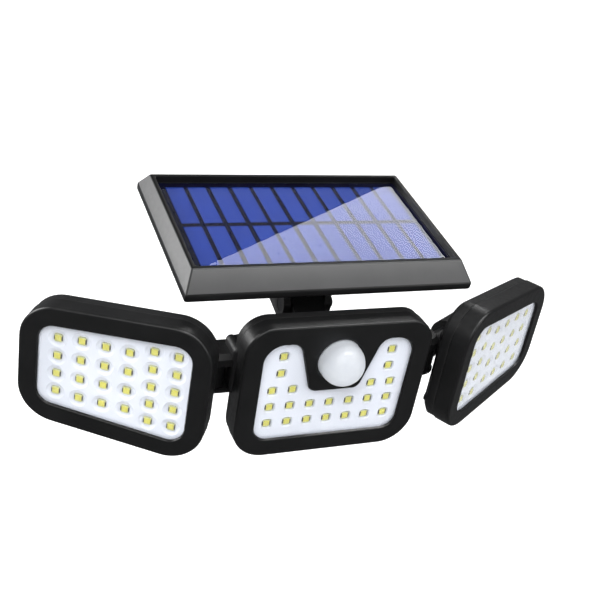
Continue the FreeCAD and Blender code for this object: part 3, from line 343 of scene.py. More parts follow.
# ------------------------------------------------------------------ material trees
class Tree:
    """A material's node tree with short calls for what the finishes need."""

    def __init__(self, name: str) -> None:
        """Starts a material with a Principled shader on its output."""
        self.material = bpy.data.materials.new(name)
        self.material.use_nodes = True
        self.nodes = self.material.node_tree.nodes
        self.links = self.material.node_tree.links
        self.shader = self.nodes["Principled BSDF"]
        self.output = self.nodes["Material Output"]

    def add(self, kind: str, **settings: object) -> bpy.types.Node:
        """Adds a node, setting its attributes, or its sockets where the name is one's."""
        node = self.nodes.new(kind)
        for key, value in settings.items():
            if hasattr(node, key):
                setattr(node, key, value)
            else:
                node.inputs[key.replace("_", " ").title()].default_value = value
        return node

    def link(self, source: bpy.types.NodeSocket, target: bpy.types.NodeSocket) -> None:
        """Joins two sockets."""
        self.links.new(source, target)

    def place(self) -> bpy.types.NodeSocket:
        """The piece's own coordinates, in metres."""
        return self.add("ShaderNodeTexCoord").outputs["Object"]

    def noise(self, scale: float, detail: float = 2.0) -> bpy.types.NodeSocket:
        """Noise of one feature per 1/scale metres."""
        node = self.add("ShaderNodeTexNoise", scale=scale, detail=detail)
        self.link(self.place(), node.inputs["Vector"])
        return node.outputs["Fac"]

    def spread(self, value: bpy.types.NodeSocket, low: float = 0.0,
               high: float = 1.0) -> bpy.types.NodeSocket:
        """Noise, which keeps mostly to 0.3..0.7, mapped onto low..high."""
        node = self.add("ShaderNodeMapRange", from_min=0.3, from_max=0.7, to_min=low, to_max=high)
        self.link(value, node.inputs["Value"])
        return node.outputs["Result"]

    def blend(self, value: bpy.types.NodeSocket, first: Colour | bpy.types.NodeSocket,
              second: Colour | bpy.types.NodeSocket) -> bpy.types.NodeSocket:
        """Two colours mixed by a value."""
        node = self.add("ShaderNodeMix", data_type="RGBA")
        self.link(value, node.inputs[0])
        for socket, colour in ((node.inputs[6], first), (node.inputs[7], second)):
            if isinstance(colour, tuple):
                socket.default_value = (*colour, 1.0)
            else:
                self.link(colour, socket)
        return node.outputs[2]

    def math(self, operation: str, first: bpy.types.NodeSocket | float,
             second: bpy.types.NodeSocket | float = 0.0) -> bpy.types.NodeSocket:
        """One arithmetic step."""
        node = self.add("ShaderNodeMath", operation=operation)
        for socket, value in zip(node.inputs, (first, second)):
            if isinstance(value, (int, float)):
                socket.default_value = value
            else:
                self.link(value, socket)
        return node.outputs[0]

    def bump(self, height: bpy.types.NodeSocket, distance: float) -> None:
        """Relief of a height in metres on the shader's normal."""
        node = self.add("ShaderNodeBump", strength=1.0, distance=distance)
        self.link(height, node.inputs["Height"])
        self.link(node.outputs["Normal"], self.shader.inputs["Normal"])

    def set(self, **values: float | Colour) -> None:
        """Sets the shader's own sockets."""
        for key, value in values.items():
            name = {"ior": "IOR", "specular": "Specular IOR Level"}.get(
                key, key.replace("_", " ").title())
            socket = self.shader.inputs[name]
            as_colour = isinstance(value, tuple) and socket.type == "RGBA"
            socket.default_value = (*value, 1.0) if as_colour else value


@dataclass(frozen=True)
class MouldedPlastic:
    """Moulded plastic with a fine spark-eroded grain, slight flow marks and handling marks."""

    name: str
    colour: Colour
    lighter: Colour
    roughness: tuple[float, float] = (0.34, 0.46)
    specular: float = 0.4
    grain: float = 0.35 * MM
    relief: float = 0.012 * MM
    flow_scale: float = 45.0
    mark_scale: float = 320.0

    def material(self) -> bpy.types.Material:
        """Builds the material."""
        tree = Tree(self.name)
        tree.set(specular=self.specular)
        flow = tree.spread(tree.noise(self.flow_scale, 3.0))
        tree.link(tree.blend(flow, self.colour, self.lighter), tree.shader.inputs["Base Color"])
        marks = tree.spread(tree.noise(self.mark_scale, 4.0), *self.roughness)
        tree.link(marks, tree.shader.inputs["Roughness"])
        tree.bump(tree.noise(1.0 / self.grain), self.relief)
        return tree.material


@dataclass(frozen=True)
class PlatedMetal:
    """Zinc-plated or blackened steel with fine turning marks."""

    name: str
    colour: Colour
    roughness: tuple[float, float] = (0.28, 0.42)
    mark_scale: float = 900.0
    turning_scale: float = 2500.0
    relief: float = 0.01 * MM

    def material(self) -> bpy.types.Material:
        """Builds the material."""
        tree = Tree(self.name)
        tree.set(metallic=1.0, base_color=self.colour)
        marks = tree.spread(tree.noise(self.mark_scale, 4.0), *self.roughness)
        tree.link(marks, tree.shader.inputs["Roughness"])
        tree.bump(tree.noise(self.turning_scale), self.relief)
        return tree.material


@dataclass(frozen=True)
class Phosphor:
    """Yellow phosphor gel with grains in it and a clear skin."""

    name: str = "phosphor_gel"
    colour: Colour = (0.60, 0.55, 0.035)
    pale: Colour = (0.70, 0.655, 0.08)
    grain_scale: float = 1100.0
    skin_scale: float = 1800.0
    relief: float = 0.03 * MM

    def material(self) -> bpy.types.Material:
        """Builds the material."""
        tree = Tree(self.name)
        tree.set(roughness=0.22, coat_weight=0.4, coat_roughness=0.1)
        grains = tree.spread(tree.noise(self.grain_scale, 3.0))
        tree.link(tree.blend(grains, self.colour, self.pale), tree.shader.inputs["Base Color"])
        tree.bump(tree.noise(self.skin_scale), self.relief)
        return tree.material


@dataclass(frozen=True)
class MilkyDome:
    """Milky moulded lens skin, slightly translucent."""

    name: str = "milky_dome"
    colour: Colour = (0.80, 0.84, 0.90)
    shade: Colour = (0.76, 0.80, 0.87)
    scatter: float = 3.0 * MM
    cloud_scale: float = 160.0
    skin_scale: float = 700.0
    relief: float = 0.02 * MM

    def material(self) -> bpy.types.Material:
        """Builds the material."""
        tree = Tree(self.name)
        tree.set(roughness=0.30, specular=0.3, subsurface_weight=0.5,
                 subsurface_scale=self.scatter, subsurface_radius=(1.0, 1.0, 1.0))
        cloud = tree.spread(tree.noise(self.cloud_scale))
        tree.link(tree.blend(cloud, self.colour, self.shade), tree.shader.inputs["Base Color"])
        tree.bump(tree.noise(self.skin_scale), self.relief)
        return tree.material


@dataclass(frozen=True)
class ClearSheet:
    """Clear moulded cover: glass that lets lamps through to what it covers."""

    name: str
    tint: Colour = (0.97, 0.98, 1.0)
    roughness: float = 0.02
    index: float = 1.45

    def material(self) -> bpy.types.Material:
        """Builds the material."""
        tree = Tree(self.name)
        tree.set(base_color=self.tint, roughness=self.roughness, ior=self.index,
                 transmission_weight=1.0)
        path = tree.add("ShaderNodeLightPath")
        clear = tree.add("ShaderNodeBsdfTransparent")
        clear.inputs["Color"].default_value = (*self.tint, 1.0)
        mix = tree.add("ShaderNodeMixShader")
        tree.link(path.outputs["Is Shadow Ray"], mix.inputs[0])
        tree.link(tree.shader.outputs[0], mix.inputs[1])
        tree.link(clear.outputs[0], mix.inputs[2])
        tree.link(mix.outputs[0], tree.output.inputs["Surface"])
        return tree.material


@dataclass(frozen=True)
class SolarCell:
    """Blue cell with thin printed fingers along its length and a mottled coating."""

    name: str = "solar_cell"
    colour: Colour = (0.010, 0.028, 0.165)
    deep: Colour = (0.008, 0.022, 0.140)
    finger: Colour = (0.060, 0.090, 0.34)
    pitch: float = 1.25 * MM
    finger_share: float = 0.26
    cloud_scale: float = 60.0
    relief: float = 0.01 * MM

    def material(self) -> bpy.types.Material:
        """Builds the material: a finger where |fract(x / pitch) - 1/2| < share / 2."""
        tree = Tree(self.name)
        tree.set(roughness=0.6, specular=0.0)
        split = tree.add("ShaderNodeSeparateXYZ")
        tree.link(tree.place(), split.inputs[0])
        turn = tree.math("FRACT", tree.math("DIVIDE", split.outputs["X"], self.pitch))
        off = tree.math("ABSOLUTE", tree.math("SUBTRACT", turn, 0.5))
        line = tree.math("LESS_THAN", off, self.finger_share / 2)
        cloud = tree.spread(tree.noise(self.cloud_scale, 3.0))
        ground = tree.blend(cloud, self.colour, self.deep)
        tree.link(tree.blend(line, ground, self.finger), tree.shader.inputs["Base Color"])
        tree.bump(line, self.relief)
        return tree.material


# ------------------------------------------------------------------ the finishes in use
@dataclass(frozen=True)
class Palette:
    """Every finish of the lamp, made once."""

    housing: bpy.types.Material
    rear: bpy.types.Material
    skirt: bpy.types.Material
    rim: bpy.types.Material
    arm: bpy.types.Material
    coated: bpy.types.Material
    reflector: bpy.types.Material
    board: bpy.types.Material
    phosphor: bpy.types.Material
    led_case: bpy.types.Material
    led_terminal: bpy.types.Material
    dome: bpy.types.Material
    cover: bpy.types.Material
    glass: bpy.types.Material
    cell: bpy.types.Material
    backing: bpy.types.Material
    zinc: bpy.types.Material
    dark_steel: bpy.types.Material
    can: bpy.types.Material
    seal: bpy.types.Material
    control: bpy.types.Material
    sleeve: bpy.types.Material

    @classmethod
    def make(cls) -> "Palette":
        """Builds all materials."""
        return cls(
            housing=MouldedPlastic("black_housing", (0.0062, 0.0063, 0.0066),
                                   (0.0090, 0.0091, 0.0095), (0.30, 0.42), 0.32).material(),
            rear=MouldedPlastic("black_rear", (0.0085, 0.0085, 0.009), (0.012, 0.012, 0.0125),
                                (0.38, 0.52), 0.28).material(),
            skirt=MouldedPlastic("grey_skirt", (0.064, 0.064, 0.065), (0.071, 0.071, 0.072),
                                 (0.42, 0.52)).material(),
            rim=MouldedPlastic("black_rim", (0.0030, 0.0031, 0.0034), (0.0042, 0.0043, 0.0046),
                               (0.34, 0.46), 0.2).material(),
            arm=MouldedPlastic("black_arm", (0.009, 0.009, 0.0095), (0.013, 0.013, 0.0135),
                               (0.34, 0.48), 0.3).material(),
            coated=MouldedPlastic("black_powder_coat", (0.012, 0.012, 0.0125), (0.018, 0.018, 0.018),
                                  (0.45, 0.60), 0.4, 0.5 * MM, 0.03 * MM).material(),
            reflector=MouldedPlastic("white_reflector", (0.74, 0.76, 0.805), (0.78, 0.795, 0.835),
                                     (0.30, 0.42), 0.4, 0.6 * MM, 0.004 * MM).material(),
            board=MouldedPlastic("white_board", (0.78, 0.78, 0.76), (0.82, 0.82, 0.80)).material(),
            phosphor=Phosphor().material(),
            led_case=MouldedPlastic("led_case", (0.50, 0.50, 0.24), (0.55, 0.55, 0.29)).material(),
            led_terminal=MouldedPlastic("led_terminal", (0.018, 0.019, 0.010),
                                        (0.026, 0.027, 0.015)).material(),
            dome=MilkyDome().material(),
            cover=ClearSheet("clear_cover").material(),
            glass=ClearSheet("panel_glass", (0.95, 0.97, 1.0), 0.01, 1.15).material(),
            cell=SolarCell().material(),
            backing=MouldedPlastic("dark_backing", (0.0030, 0.0034, 0.012), (0.0045, 0.005, 0.016),
                                   (0.5, 0.6), 0.0).material(),
            zinc=PlatedMetal("zinc_plate", (0.55, 0.55, 0.54)).material(),
            dark_steel=PlatedMetal("blackened_steel", (0.045, 0.045, 0.048),
                                   (0.34, 0.48)).material(),
            can=PlatedMetal("sensor_can", (0.62, 0.61, 0.57)).material(),
            seal=MouldedPlastic("seal_rubber", (0.014, 0.014, 0.014), (0.02, 0.02, 0.02),
                                (0.65, 0.8), 0.3).material(),
            control=MouldedPlastic("green_board", (0.02, 0.13, 0.05), (0.03, 0.17, 0.07)).material(),
            sleeve=MouldedPlastic("cell_sleeve", (0.03, 0.12, 0.33), (0.04, 0.15, 0.38),
                                  (0.2, 0.3)).material(),
        )


# ------------------------------------------------------------------ heads
@dataclass(frozen=True)
class HeadLayout:
    """Outline, window and LED places of a head, in its own frame."""

    outline: Sequence[Corner]
    window: Sequence[Corner]
    leds: Array
    pocket: Sequence[tuple[float, float, float]]  # half width, squareness, depth
    sensor: tuple[float, float, float] | None = None  # x, z, radius


def middle_layout() -> HeadLayout:
    """The middle head: U-shaped window round the sensor, LEDs in rows and up both arms."""
    outline = mirrored([(64.6, -24.2, 23.0), (65.3, 73.2, 18.5)])
    window = mirrored([(50.8, -11.0, 10.0), (52.0, 60.3, 12.5), (28.7, 60.3, 8.5),
                       (17.3, 23.8, 6.5)])
    pitch, row_pitch = 14.0, 12.55
    arm_x, arm_rise = 37.9, 0.3
    leds = [(c * pitch, r * row_pitch) for r in range(2) for c in range(-3, 4)]
    leds += [(c * pitch, 2 * row_pitch) for c in (-3, -2, 2, 3)]
    leds += [(s * arm_x, r * row_pitch + arm_rise) for r in (3, 4) for s in (-1, 1)]
    pocket = [(4.05, 3.0, -0.70), (3.9, 3.0, -0.70), (3.75, 3.4, -0.62), (3.5, 3.8, -0.3),
              (3.2, 4.5, 0.1), (3.1, 6.0, 0.9)]
    return HeadLayout(outline, window, np.array(leds), pocket, (0.0, DOME_HEIGHT, 14.9))


def side_layout() -> HeadLayout:
    """A side head: one plain window, LEDs in six columns, each in a round dish."""
    outline = flipped([(98.9, 39.6, 24.5), (-21.6, 48.2, 24.5)])
    window = flipped([(86.5, 27.2, 10.5), (-9.0, 34.6, 10.5)])
    column_pitch = 15.0
    columns = ((12.64, 5), (12.64, 5), (13.75, 4), (13.75, 4), (13.75, 4), (12.74, 4))
    leds = [(k * column_pitch, (r - (n - 1) / 2) * pitch)
            for k, (pitch, n) in enumerate(columns) for r in range(n)]
    dish = [(6.29, 2.0, -0.70), (6.15, 2.0, -0.70), (5.95, 2.0, -0.62), (5.35, 2.05, -0.12),
            (4.75, 2.15, 0.28), (4.3, 2.4, 0.42), (3.5, 4.0, 0.52), (3.15, 6.0, 0.60),
            (3.1, 6.0, 0.90)]
    return HeadLayout(outline, window, np.array(leds), dish)


@dataclass(frozen=True)
class LedPackage:
    """One LED package: rings of a soft-square case, then of its slightly domed gel."""

    rings: Sequence[tuple[float, float, float]] = (
        (2.70, 9.0, 1.00), (2.70, 9.0, 0.08), (2.62, 9.0, 0.0), (2.12, 7.0, 0.0),
        (2.06, 6.0, 0.05), (1.9, 4.5, -0.02), (1.1, 2.6, -0.12))  # half width, squareness, depth
    case_rings: int = 5
    foot: float = 1.0
    tip: float = -0.14
    dark_side_reach: float = 0.75
    points: int = 16


@dataclass
class HeadFace:
    """Front of one head: moulded frame, reflector with a pocket per LED, and the LEDs.

    Depths are behind the LED plane. An edge's profile gives outward offset and depth from
    the corner that it softens, with a ring beside each rounding to keep the flats flat.
    """

    side: Side
    layout: HeadLayout
    body: str
    front: float = -4.0
    lens_front: float = -2.4
    lens_rear: float = -0.8
    rear: float = 9.0
    wall: float = 2.6
    edge: float = 1.8
    edge_flat: float = 0.25
    side_flat: float = 0.4
    rear_edge: Profile = ((0.0, -0.75), (0.0, -0.55), (-0.15, -0.2), (-0.5, 0.0))
    lip: Profile = ((1.55, 0.0), (1.3, 0.0), (0.95, 0.05), (0.7, 0.25), (0.5, 0.6))
    lip_foot: Profile = ((0.06, -0.2), (0.0, -0.05), (0.0, 0.0))
    sensor_lip: Profile = ((1.75, 0.0), (1.5, 0.0), (1.2, 0.08), (0.8, 0.32), (0.35, 0.8), (0.0, 1.4))
    ledge: float = 2.95
    reflector_front: float = -0.7
    reflector_rear: float = 0.9
    reflector_inset: float = 9.8
    reflector_edge: Profile = ((-0.5, 0.0), (-0.3, 0.0), (0.0, 0.3))
    pocket_points: int = 32
    package: LedPackage = LedPackage()

    def frame(self, palette: Palette) -> bpy.types.Object:
        """Front frame as one closed shell.

        The outer edge is an arc from the flat front face to the side wall, then a small
        step at the parting line. Each opening has a sloping lip with a rounded start.

        Args:
            palette: The finishes.

        Returns:
            The piece.
        """
        surface = Surface()
        bend = self.front + self.edge
        rim = [(-self.edge - self.edge_flat, self.front),
               *arc_profile((-self.edge, bend), self.edge, 0, 90, 8),
               (0.0, bend + self.side_flat), *profile_at(self.rear_edge, 0.0, self.rear),
               (-self.wall, self.rear), (-self.wall, self.lens_rear)]
        lip = [*profile_at(self.lip, 0.0, self.front),
               *profile_at(self.lip_foot, 0.0, self.lens_front),
               (self.ledge, self.lens_front), (self.ledge, self.lens_rear)]
        edges = [(rounded_loop(self.layout.outline, 20), rim),
                 (rounded_loop(self.layout.window, 12), lip)]
        if self.layout.sensor:
            x, z, radius = self.layout.sensor
            collar = [*profile_at(self.sensor_lip, 0.0, self.front), (0.0, self.lens_rear)]
            edges.append((round_loop((x, z), radius), collar))
        self.close_between(surface, edges, [])
        piece = surface.build(f"{self.side.value}_front_frame", head_placement(self.side),
                              [palette.housing])
        return stand_in(piece, f"{self.side.value}_frame", self.body)

    def reflector(self, palette: Palette) -> bpy.types.Object:
        """White plate with a pocket per LED: stacked soft squares from the face to the board.

        Args:
            palette: The finishes.

        Returns:
            The piece.
        """
        surface = Surface()
        edge = [*profile_at(self.reflector_edge, -self.reflector_inset, self.reflector_front),
                (-self.reflector_inset, self.reflector_rear)]
        edges = [(rounded_loop(self.layout.outline, 12), edge)]
        if self.layout.sensor:
            x, z, radius = self.layout.sensor
            hole = [(0.0, self.reflector_front), (0.0, self.reflector_rear)]
            edges.append((round_loop((x, z), radius + self.ledge), hole))
        rings = [soft_squares(self.layout.leds, half, power, self.pocket_points)
                 for half, power, depth in self.layout.pocket]
        depths = [depth for half, power, depth in self.layout.pocket]
        grid = np.stack([plane_points(ring, depth) for ring, depth in zip(rings, depths)], axis=2)
        pockets = [(surface.add_points(pocket), rings[0][k], rings[-1][k])
                   for k, pocket in enumerate(grid)]
        self.close_between(surface, edges, pockets)
        piece = surface.build(f"{self.side.value}_white_reflector", head_placement(self.side),
                              [palette.reflector])
        return stand_in(piece, f"{self.side.value}_reflector", self.body)

    def close_between(self, surface: Surface, edges: Sequence[tuple[Loop, Profile]],
                      pockets: Sequence[tuple[Array, Array, Array]]) -> None:
        """Sweeps each edge and fills the front and the back between all of them.

        Args:
            surface: Where the faces go.
            edges: Each outline with its profile, the outer one first.
            pockets: Index grid, front points and rear points of each pocket.
        """
        front, back = [], []
        for loop, profile in edges:
            index = surface.add_points(swept(loop, profile))
            surface.join(index)
            front.append((index[:, 0], loop.offset(profile[0][0])))
            back.append((index[:, -1], loop.offset(profile[-1][0])))
        for index, front_points, back_points in pockets:
            surface.join(index)
            front.append((index[:, 0], front_points))
            back.append((index[:, -1], back_points))
        surface.fill(front)
        surface.fill(back)

    def light_sources(self, palette: Palette) -> bpy.types.Object:
        """LED packages: a soft-square case, darker on two of its sides, and a
        slightly domed phosphor, all as stacked rings closed by a point.

        Args:
            palette: The finishes.

        Returns:
            The piece.
        """
        surface = Surface()
        led = self.package
        rings = [plane_points(soft_squares(self.layout.leds, half, power, led.points), depth)
                 for half, power, depth in led.rings]
        index = surface.add_points(np.stack(rings, axis=2))
        angle = (np.arange(led.points) + 1.0) * 2 * math.pi / led.points
        # Case faces turned along the head's X take a darker finish, on both sides of each LED.
        at_side = np.abs(np.cos(angle)) > led.dark_side_reach
        case_slots = np.repeat(np.where(at_side, 2, 1), led.case_rings - 1)
        for (x, z), rows in zip(self.layout.leds, index):
            surface.join(rows[:, :led.case_rings], case_slots)
            surface.join(rows[:, led.case_rings - 1:])
            surface.close_end(rows[:, -1], (x, led.tip, z))
            surface.close_end(rows[:, 0], (x, led.foot, z), 1)
        piece = surface.build(f"{self.side.value}_led_packages", head_placement(self.side),
                              [palette.phosphor, palette.led_case, palette.led_terminal])
        return stand_in(piece, f"{self.side.value}_leds", self.body)

    def build(self, palette: Palette) -> None:
        """Builds the head's front."""
        self.frame(palette)
        self.reflector(palette)
        self.light_sources(palette)


@dataclass
class SensorDome:
    """Milky dome over the sensor, moulded in rings of small crowned lens cells."""

    centre: tuple[float, float] = (0.0, DOME_HEIGHT)
    seat: float = -6.8
    radius: float = 14.75
    wall: float = 1.1
    flange: float = 17.35
    flange_front: float = -0.7
    flange_rear: float = 0.5
    flange_fall: float = 0.05
    crown: float = 0.1
    cell_borders: Sequence[float] = (0.0, 15.0, 33.0, 51.0, 69.0, 90.0)
    cells_round: Sequence[int] = (1, 7, 12, 16, 20)
    points_round: int = 160
    points_down: int = 60
    points_inside: int = 14

    def reach(self, polar: Array, around: Array) -> Array:
        """Outer radius, crowned in each lens cell.

        At polar angle t and azimuth a it is R - c (1 - sqrt(k)), where k is 1 at the middle
        of a lens cell and 0 on its border: k = (1 - u^2)(1 - v^2) with u and v from -1 to 1
        across the cell. The cell at the pole is round, with u from 0 to 1 and v = 0.

        Args:
            polar: (m,) angles from the pole.
            around: (n,) azimuths.

        Returns:
            (n, m) radii.
        """
        borders = np.radians(self.cell_borders)
        cells = np.array(self.cells_round)
        ring = np.clip(np.searchsorted(borders, polar, side="right") - 1, 0, len(cells) - 1)
        u = 2 * (polar - borders[ring]) / (borders[ring + 1] - borders[ring]) - 1
        u = np.where(ring == 0, polar / borders[1], u)
        phase = around[:, None] * cells[ring] / (2 * math.pi) + 0.5 * (ring % 2)
        v = np.where(ring == 0, 0.0, 2 * (phase % 1.0) - 1)
        k = (1 - u**2) * (1 - v**2)
        radii = self.radius - self.crown * (1 - np.sqrt(np.clip(k, 0, 1)))
        radii[:, -1] = self.radius
        return radii

    def turned(self, radii: Array | float, polar: Array, around: Array) -> Array:
        """Points at radii r: centre + r sin t (cos a, sin a), at depth seat - r cos t."""
        across = radii * np.sin(polar)
        depth = np.broadcast_to(self.seat - radii * np.cos(polar), (len(around), len(polar)))
        return np.stack([self.centre[0] + across * np.cos(around)[:, None], depth,
                         self.centre[1] + across * np.sin(around)[:, None]], axis=2)

    def build(self, palette: Palette) -> bpy.types.Object:
        """The dome as a closed turned shell: outer skin, collar and flange, and hollow.

        Args:
            palette: The finishes.

        Returns:
            The piece.
        """
        inner = self.radius - self.wall
        around = np.arange(self.points_round) * 2 * math.pi / self.points_round
        polar = np.radians(np.linspace(1.5, 90.0, self.points_down))
        polar_in = np.radians(np.linspace(84.0, 3.0, self.points_inside))
        skin = self.turned(self.reach(polar, around), polar, around)
        foot = [(self.radius, self.flange_front - self.flange_fall),
                (self.flange, self.flange_front), (self.flange, self.flange_rear),
                (inner, self.flange_rear), (inner, self.seat)]
        spin = np.stack([np.cos(around), np.sin(around)], axis=1)
        collar = np.stack([plane_points(np.array(self.centre) + spin * r, y) for r, y in foot], axis=1)
        surface = Surface()
        index = surface.add_points(np.concatenate(
            [skin, collar, self.turned(inner, polar_in, around)], axis=1))
        surface.join(index)
        for ring, radius in ((index[:, 0], self.radius), (index[:, -1], inner)):
            surface.close_end(ring, (self.centre[0], self.seat - radius, self.centre[1]))
        piece = surface.build("milky_sensor_dome", head_placement(Side.MIDDLE), [palette.dome], 60.0)
        return stand_in(piece, "sensor_dome", "lamp_body")


# ------------------------------------------------------------------ solar panel
@dataclass
class PanelFrame:
    """Frame of the solar panel: lip, sloping skirt, narrow rim and recess for the glass."""

    half_width: float = 94.6
    half_depth: float = 54.5
    side: float = 5.6
    front: float = 12.1
    back: float = 7.8
    slope: float = 11.6
    lip: float = 5.0
    wall: float = 2.6
    rim: float = 3.0
    shelf: float = -7.35
    shelf_thickness: float = 2.0
    shelf_width: float = 3.0
    inner_round: float = 1.5
    outer_round: float = 1.4
    crisp_round: float = 1.0
    wall_round: float = 1.2
    corner_steps: int = 6
    rim_levels: int = 7
    skirt_level: int = 8

    def ring(self, grow: float, height: float, radius: float, spread: float = 0.0) -> Array:
        """Rounded rectangle at one height.

        The half width is w + spread * side + grow, the front edge -d - spread * front - grow
        and the back edge d + spread * back + grow.

        Args:
            grow: Outward offset in millimetres.
            height: Height above the rim.
            radius: Corner radius.
            spread: How far down the skirt, 0 at the rim and 1 at the lip.

        Returns:
            (n, 3) points in panel coordinates.
        """
        half = self.half_width + spread * self.side + grow
        front = -self.half_depth - spread * self.front - grow
        back = self.half_depth + spread * self.back + grow
        loop = rounded_loop([(half, front, radius), (half, back, radius),
                             (-half, back, radius), (-half, front, radius)], self.corner_steps)
        return np.column_stack([loop.points, np.full(loop.count, height)])

    def build(self, palette: Palette) -> bpy.types.Object:
        """The frame as stacked rounded rectangles, from the recess over the rim and down.

        Args:
            palette: The finishes.

        Returns:
            The piece.
        """
        low = -self.slope - self.lip
        inside = self.shelf - self.shelf_thickness
        share = -inside / self.slope
        shelf_edge = -self.rim - self.shelf_width
        inner, outer, crisp = self.inner_round, self.outer_round, self.crisp_round
        recess = [(shelf_edge, inside, inner), (shelf_edge, self.shelf, inner),
                  (-self.rim, self.shelf, inner), (-self.rim, -0.5, inner),
                  (-self.rim + 0.15, -0.15, inner), (-self.rim + 0.5, 0.0, inner)]
        rim = [(-0.9, 0.0, crisp), (-0.35, -0.12, crisp), (0.0, -0.6, crisp, 0.04)]
        skirt = [(0.0, -self.slope + 0.8, crisp, 0.93),
                 (0.0, -self.slope, self.wall_round, 0.985)]
        lip = [(0.0, -self.slope - 0.9, outer, 1.0), (0.0, low + 1.6, outer, 1.0),
               (-0.25, low + 0.7, outer, 1.0), (-0.8, low + 0.15, outer, 1.0),
               (-1.4, low, outer, 1.0)]
        inner_wall = [(-self.wall, low, self.wall_round, 1.0),
                      (-self.wall, -self.slope, self.wall_round, 1.0),
                      (-self.wall, inside, self.wall_round, share)]
        grid = np.stack([self.ring(*level) for level in recess + rim + skirt + lip + inner_wall],
                        axis=1)
        slots = np.zeros((grid.shape[0], grid.shape[1] - 1), dtype=int)
        # Only the skirt's straight sides take the grey finish. Its rounded corners keep the black one,
        # a painted dark reflection line down each corner of the skirt.
        slots[self.corner_steps - 1::self.corner_steps, self.skirt_level] = 1
        slots[:, :self.rim_levels] = 2
        surface = Surface()
        index = surface.add_points(grid)
        surface.join(index, slots.reshape(-1))
        surface.join(np.concatenate([index[:, -1:], index[:, :1]], axis=1))
        piece = surface.build("solar_panel_frame", panel_placement(),
                              [palette.housing, palette.skirt, palette.rim])
        return stand_in(piece, "panel_frame", "solar_panel")


@dataclass
class CellStrips:
    """Solar cells: thin strips in two rows, with the dark backing showing between them."""

    half_width: float = 85.3
    half_depth: float = 45.6
    columns: int = 11
    rows: int = 2
    gap: float = 3.5
    row_gap: float = 4.3
    top: float = -5.7
    thickness: float = 0.25
    edge_drop: float = 0.06
    edge_share: float = 0.992

    def build(self, palette: Palette) -> bpy.types.Object:
        """All strips in one piece.

        Strip (i, j) has its centre at ((i - (n - 1) / 2) px, (j - (m - 1) / 2) py), where a
        pitch is (field + gap) / count, and its corners half a pitch less half a gap from it.

        Args:
            palette: The finishes.

        Returns:
            The piece.
        """
        field_size = 2 * np.array([self.half_width, self.half_depth])
        gaps = np.array([self.gap, self.row_gap])
        counts = np.array([self.columns, self.rows])
        pitch = (field_size + gaps) / counts
        place = np.stack(np.meshgrid(np.arange(self.columns), np.arange(self.rows)), axis=-1)
        centres = (place.reshape(-1, 2) - (counts - 1) / 2) * pitch
        corners = np.array([[-1, -1], [1, -1], [1, 1], [-1, 1]]) * (pitch - gaps) / 2
        stack = [(1.0, -self.thickness), (1.0, -self.edge_drop), (self.edge_share, 0.0)]
        rings = [np.concatenate([centres[:, None] + corners * share,
                                 np.full((len(centres), 4, 1), self.top + rise)], axis=2)
                 for share, rise in stack]
        surface = Surface()
        index = surface.add_points(np.stack(rings, axis=2))
        for strip in index:
            surface.join(strip)
        surface.add_faces(np.concatenate([index[:, :, 0], index[:, ::-1, -1]]))
        piece = surface.build("solar_cell_strips", panel_placement(), [palette.cell], 20.0)
        return stand_in(piece, "panel_cells", "solar_panel")


# ------------------------------------------------------------------ pieces carried over
@dataclass
class CarriedNodes:
    """Gives every node that stays its finish."""

    def finishes(self, palette: Palette) -> dict[str, bpy.types.Material]:
        """Finish of each node by name."""
        chosen = {
            "wall_bracket": palette.coated, "bracket_screws": palette.zinc,
            "middle_shell": palette.rear, "middle_board": palette.board,
            "middle_lens": palette.cover, "middle_seal": palette.seal,
            "middle_screws": palette.zinc,
            "sensor_can": palette.can, "battery": palette.sleeve, "battery_cradle": palette.rear,
            "control_board": palette.control, "mode_button": palette.seal,
            "panel_glass": palette.glass, "panel_backing": palette.backing,
            "panel_cover": palette.housing, "panel_cover_screws": palette.zinc,
            "panel_clevis": palette.arm, "panel_clevis_screws": palette.zinc,
            "hinge_bolt": palette.dark_steel, "hinge_nut": palette.dark_steel,
            "hinge_washers": palette.seal,
        }
        for side in ("left", "right"):
            for name, material in (("shell", palette.rear), ("lens", palette.cover),
                                   ("board", palette.board), ("seal", palette.seal),
                                   ("screws", palette.zinc), ("socket_cap", palette.arm),
                                   ("knuckle", palette.arm), ("stub_seal", palette.seal),
                                   ("stub_washer", palette.zinc), ("stub_screw", palette.zinc),
                                   ("pivot_bolt", palette.dark_steel),
                                   ("pivot_nut", palette.dark_steel)):
                chosen[f"{side}_{name}"] = material
        return chosen

    def dress(self, palette: Palette) -> None:
        """Assigns each finish to its node."""
        for name, material in self.finishes(palette).items():
            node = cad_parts[name]
            if not node.material_slots:
                node.data.materials.append(material)
            for slot in node.material_slots:
                slot.material = material
            LOG.info("%s: dressed", name)


# ------------------------------------------------------------------ studio
@dataclass(frozen=True)
class Lamp:
    """Rectangular soft light: place and size in metres, power in watts."""

    name: str
    place: tuple[float, float, float]
    size: tuple[float, float]
    power: float


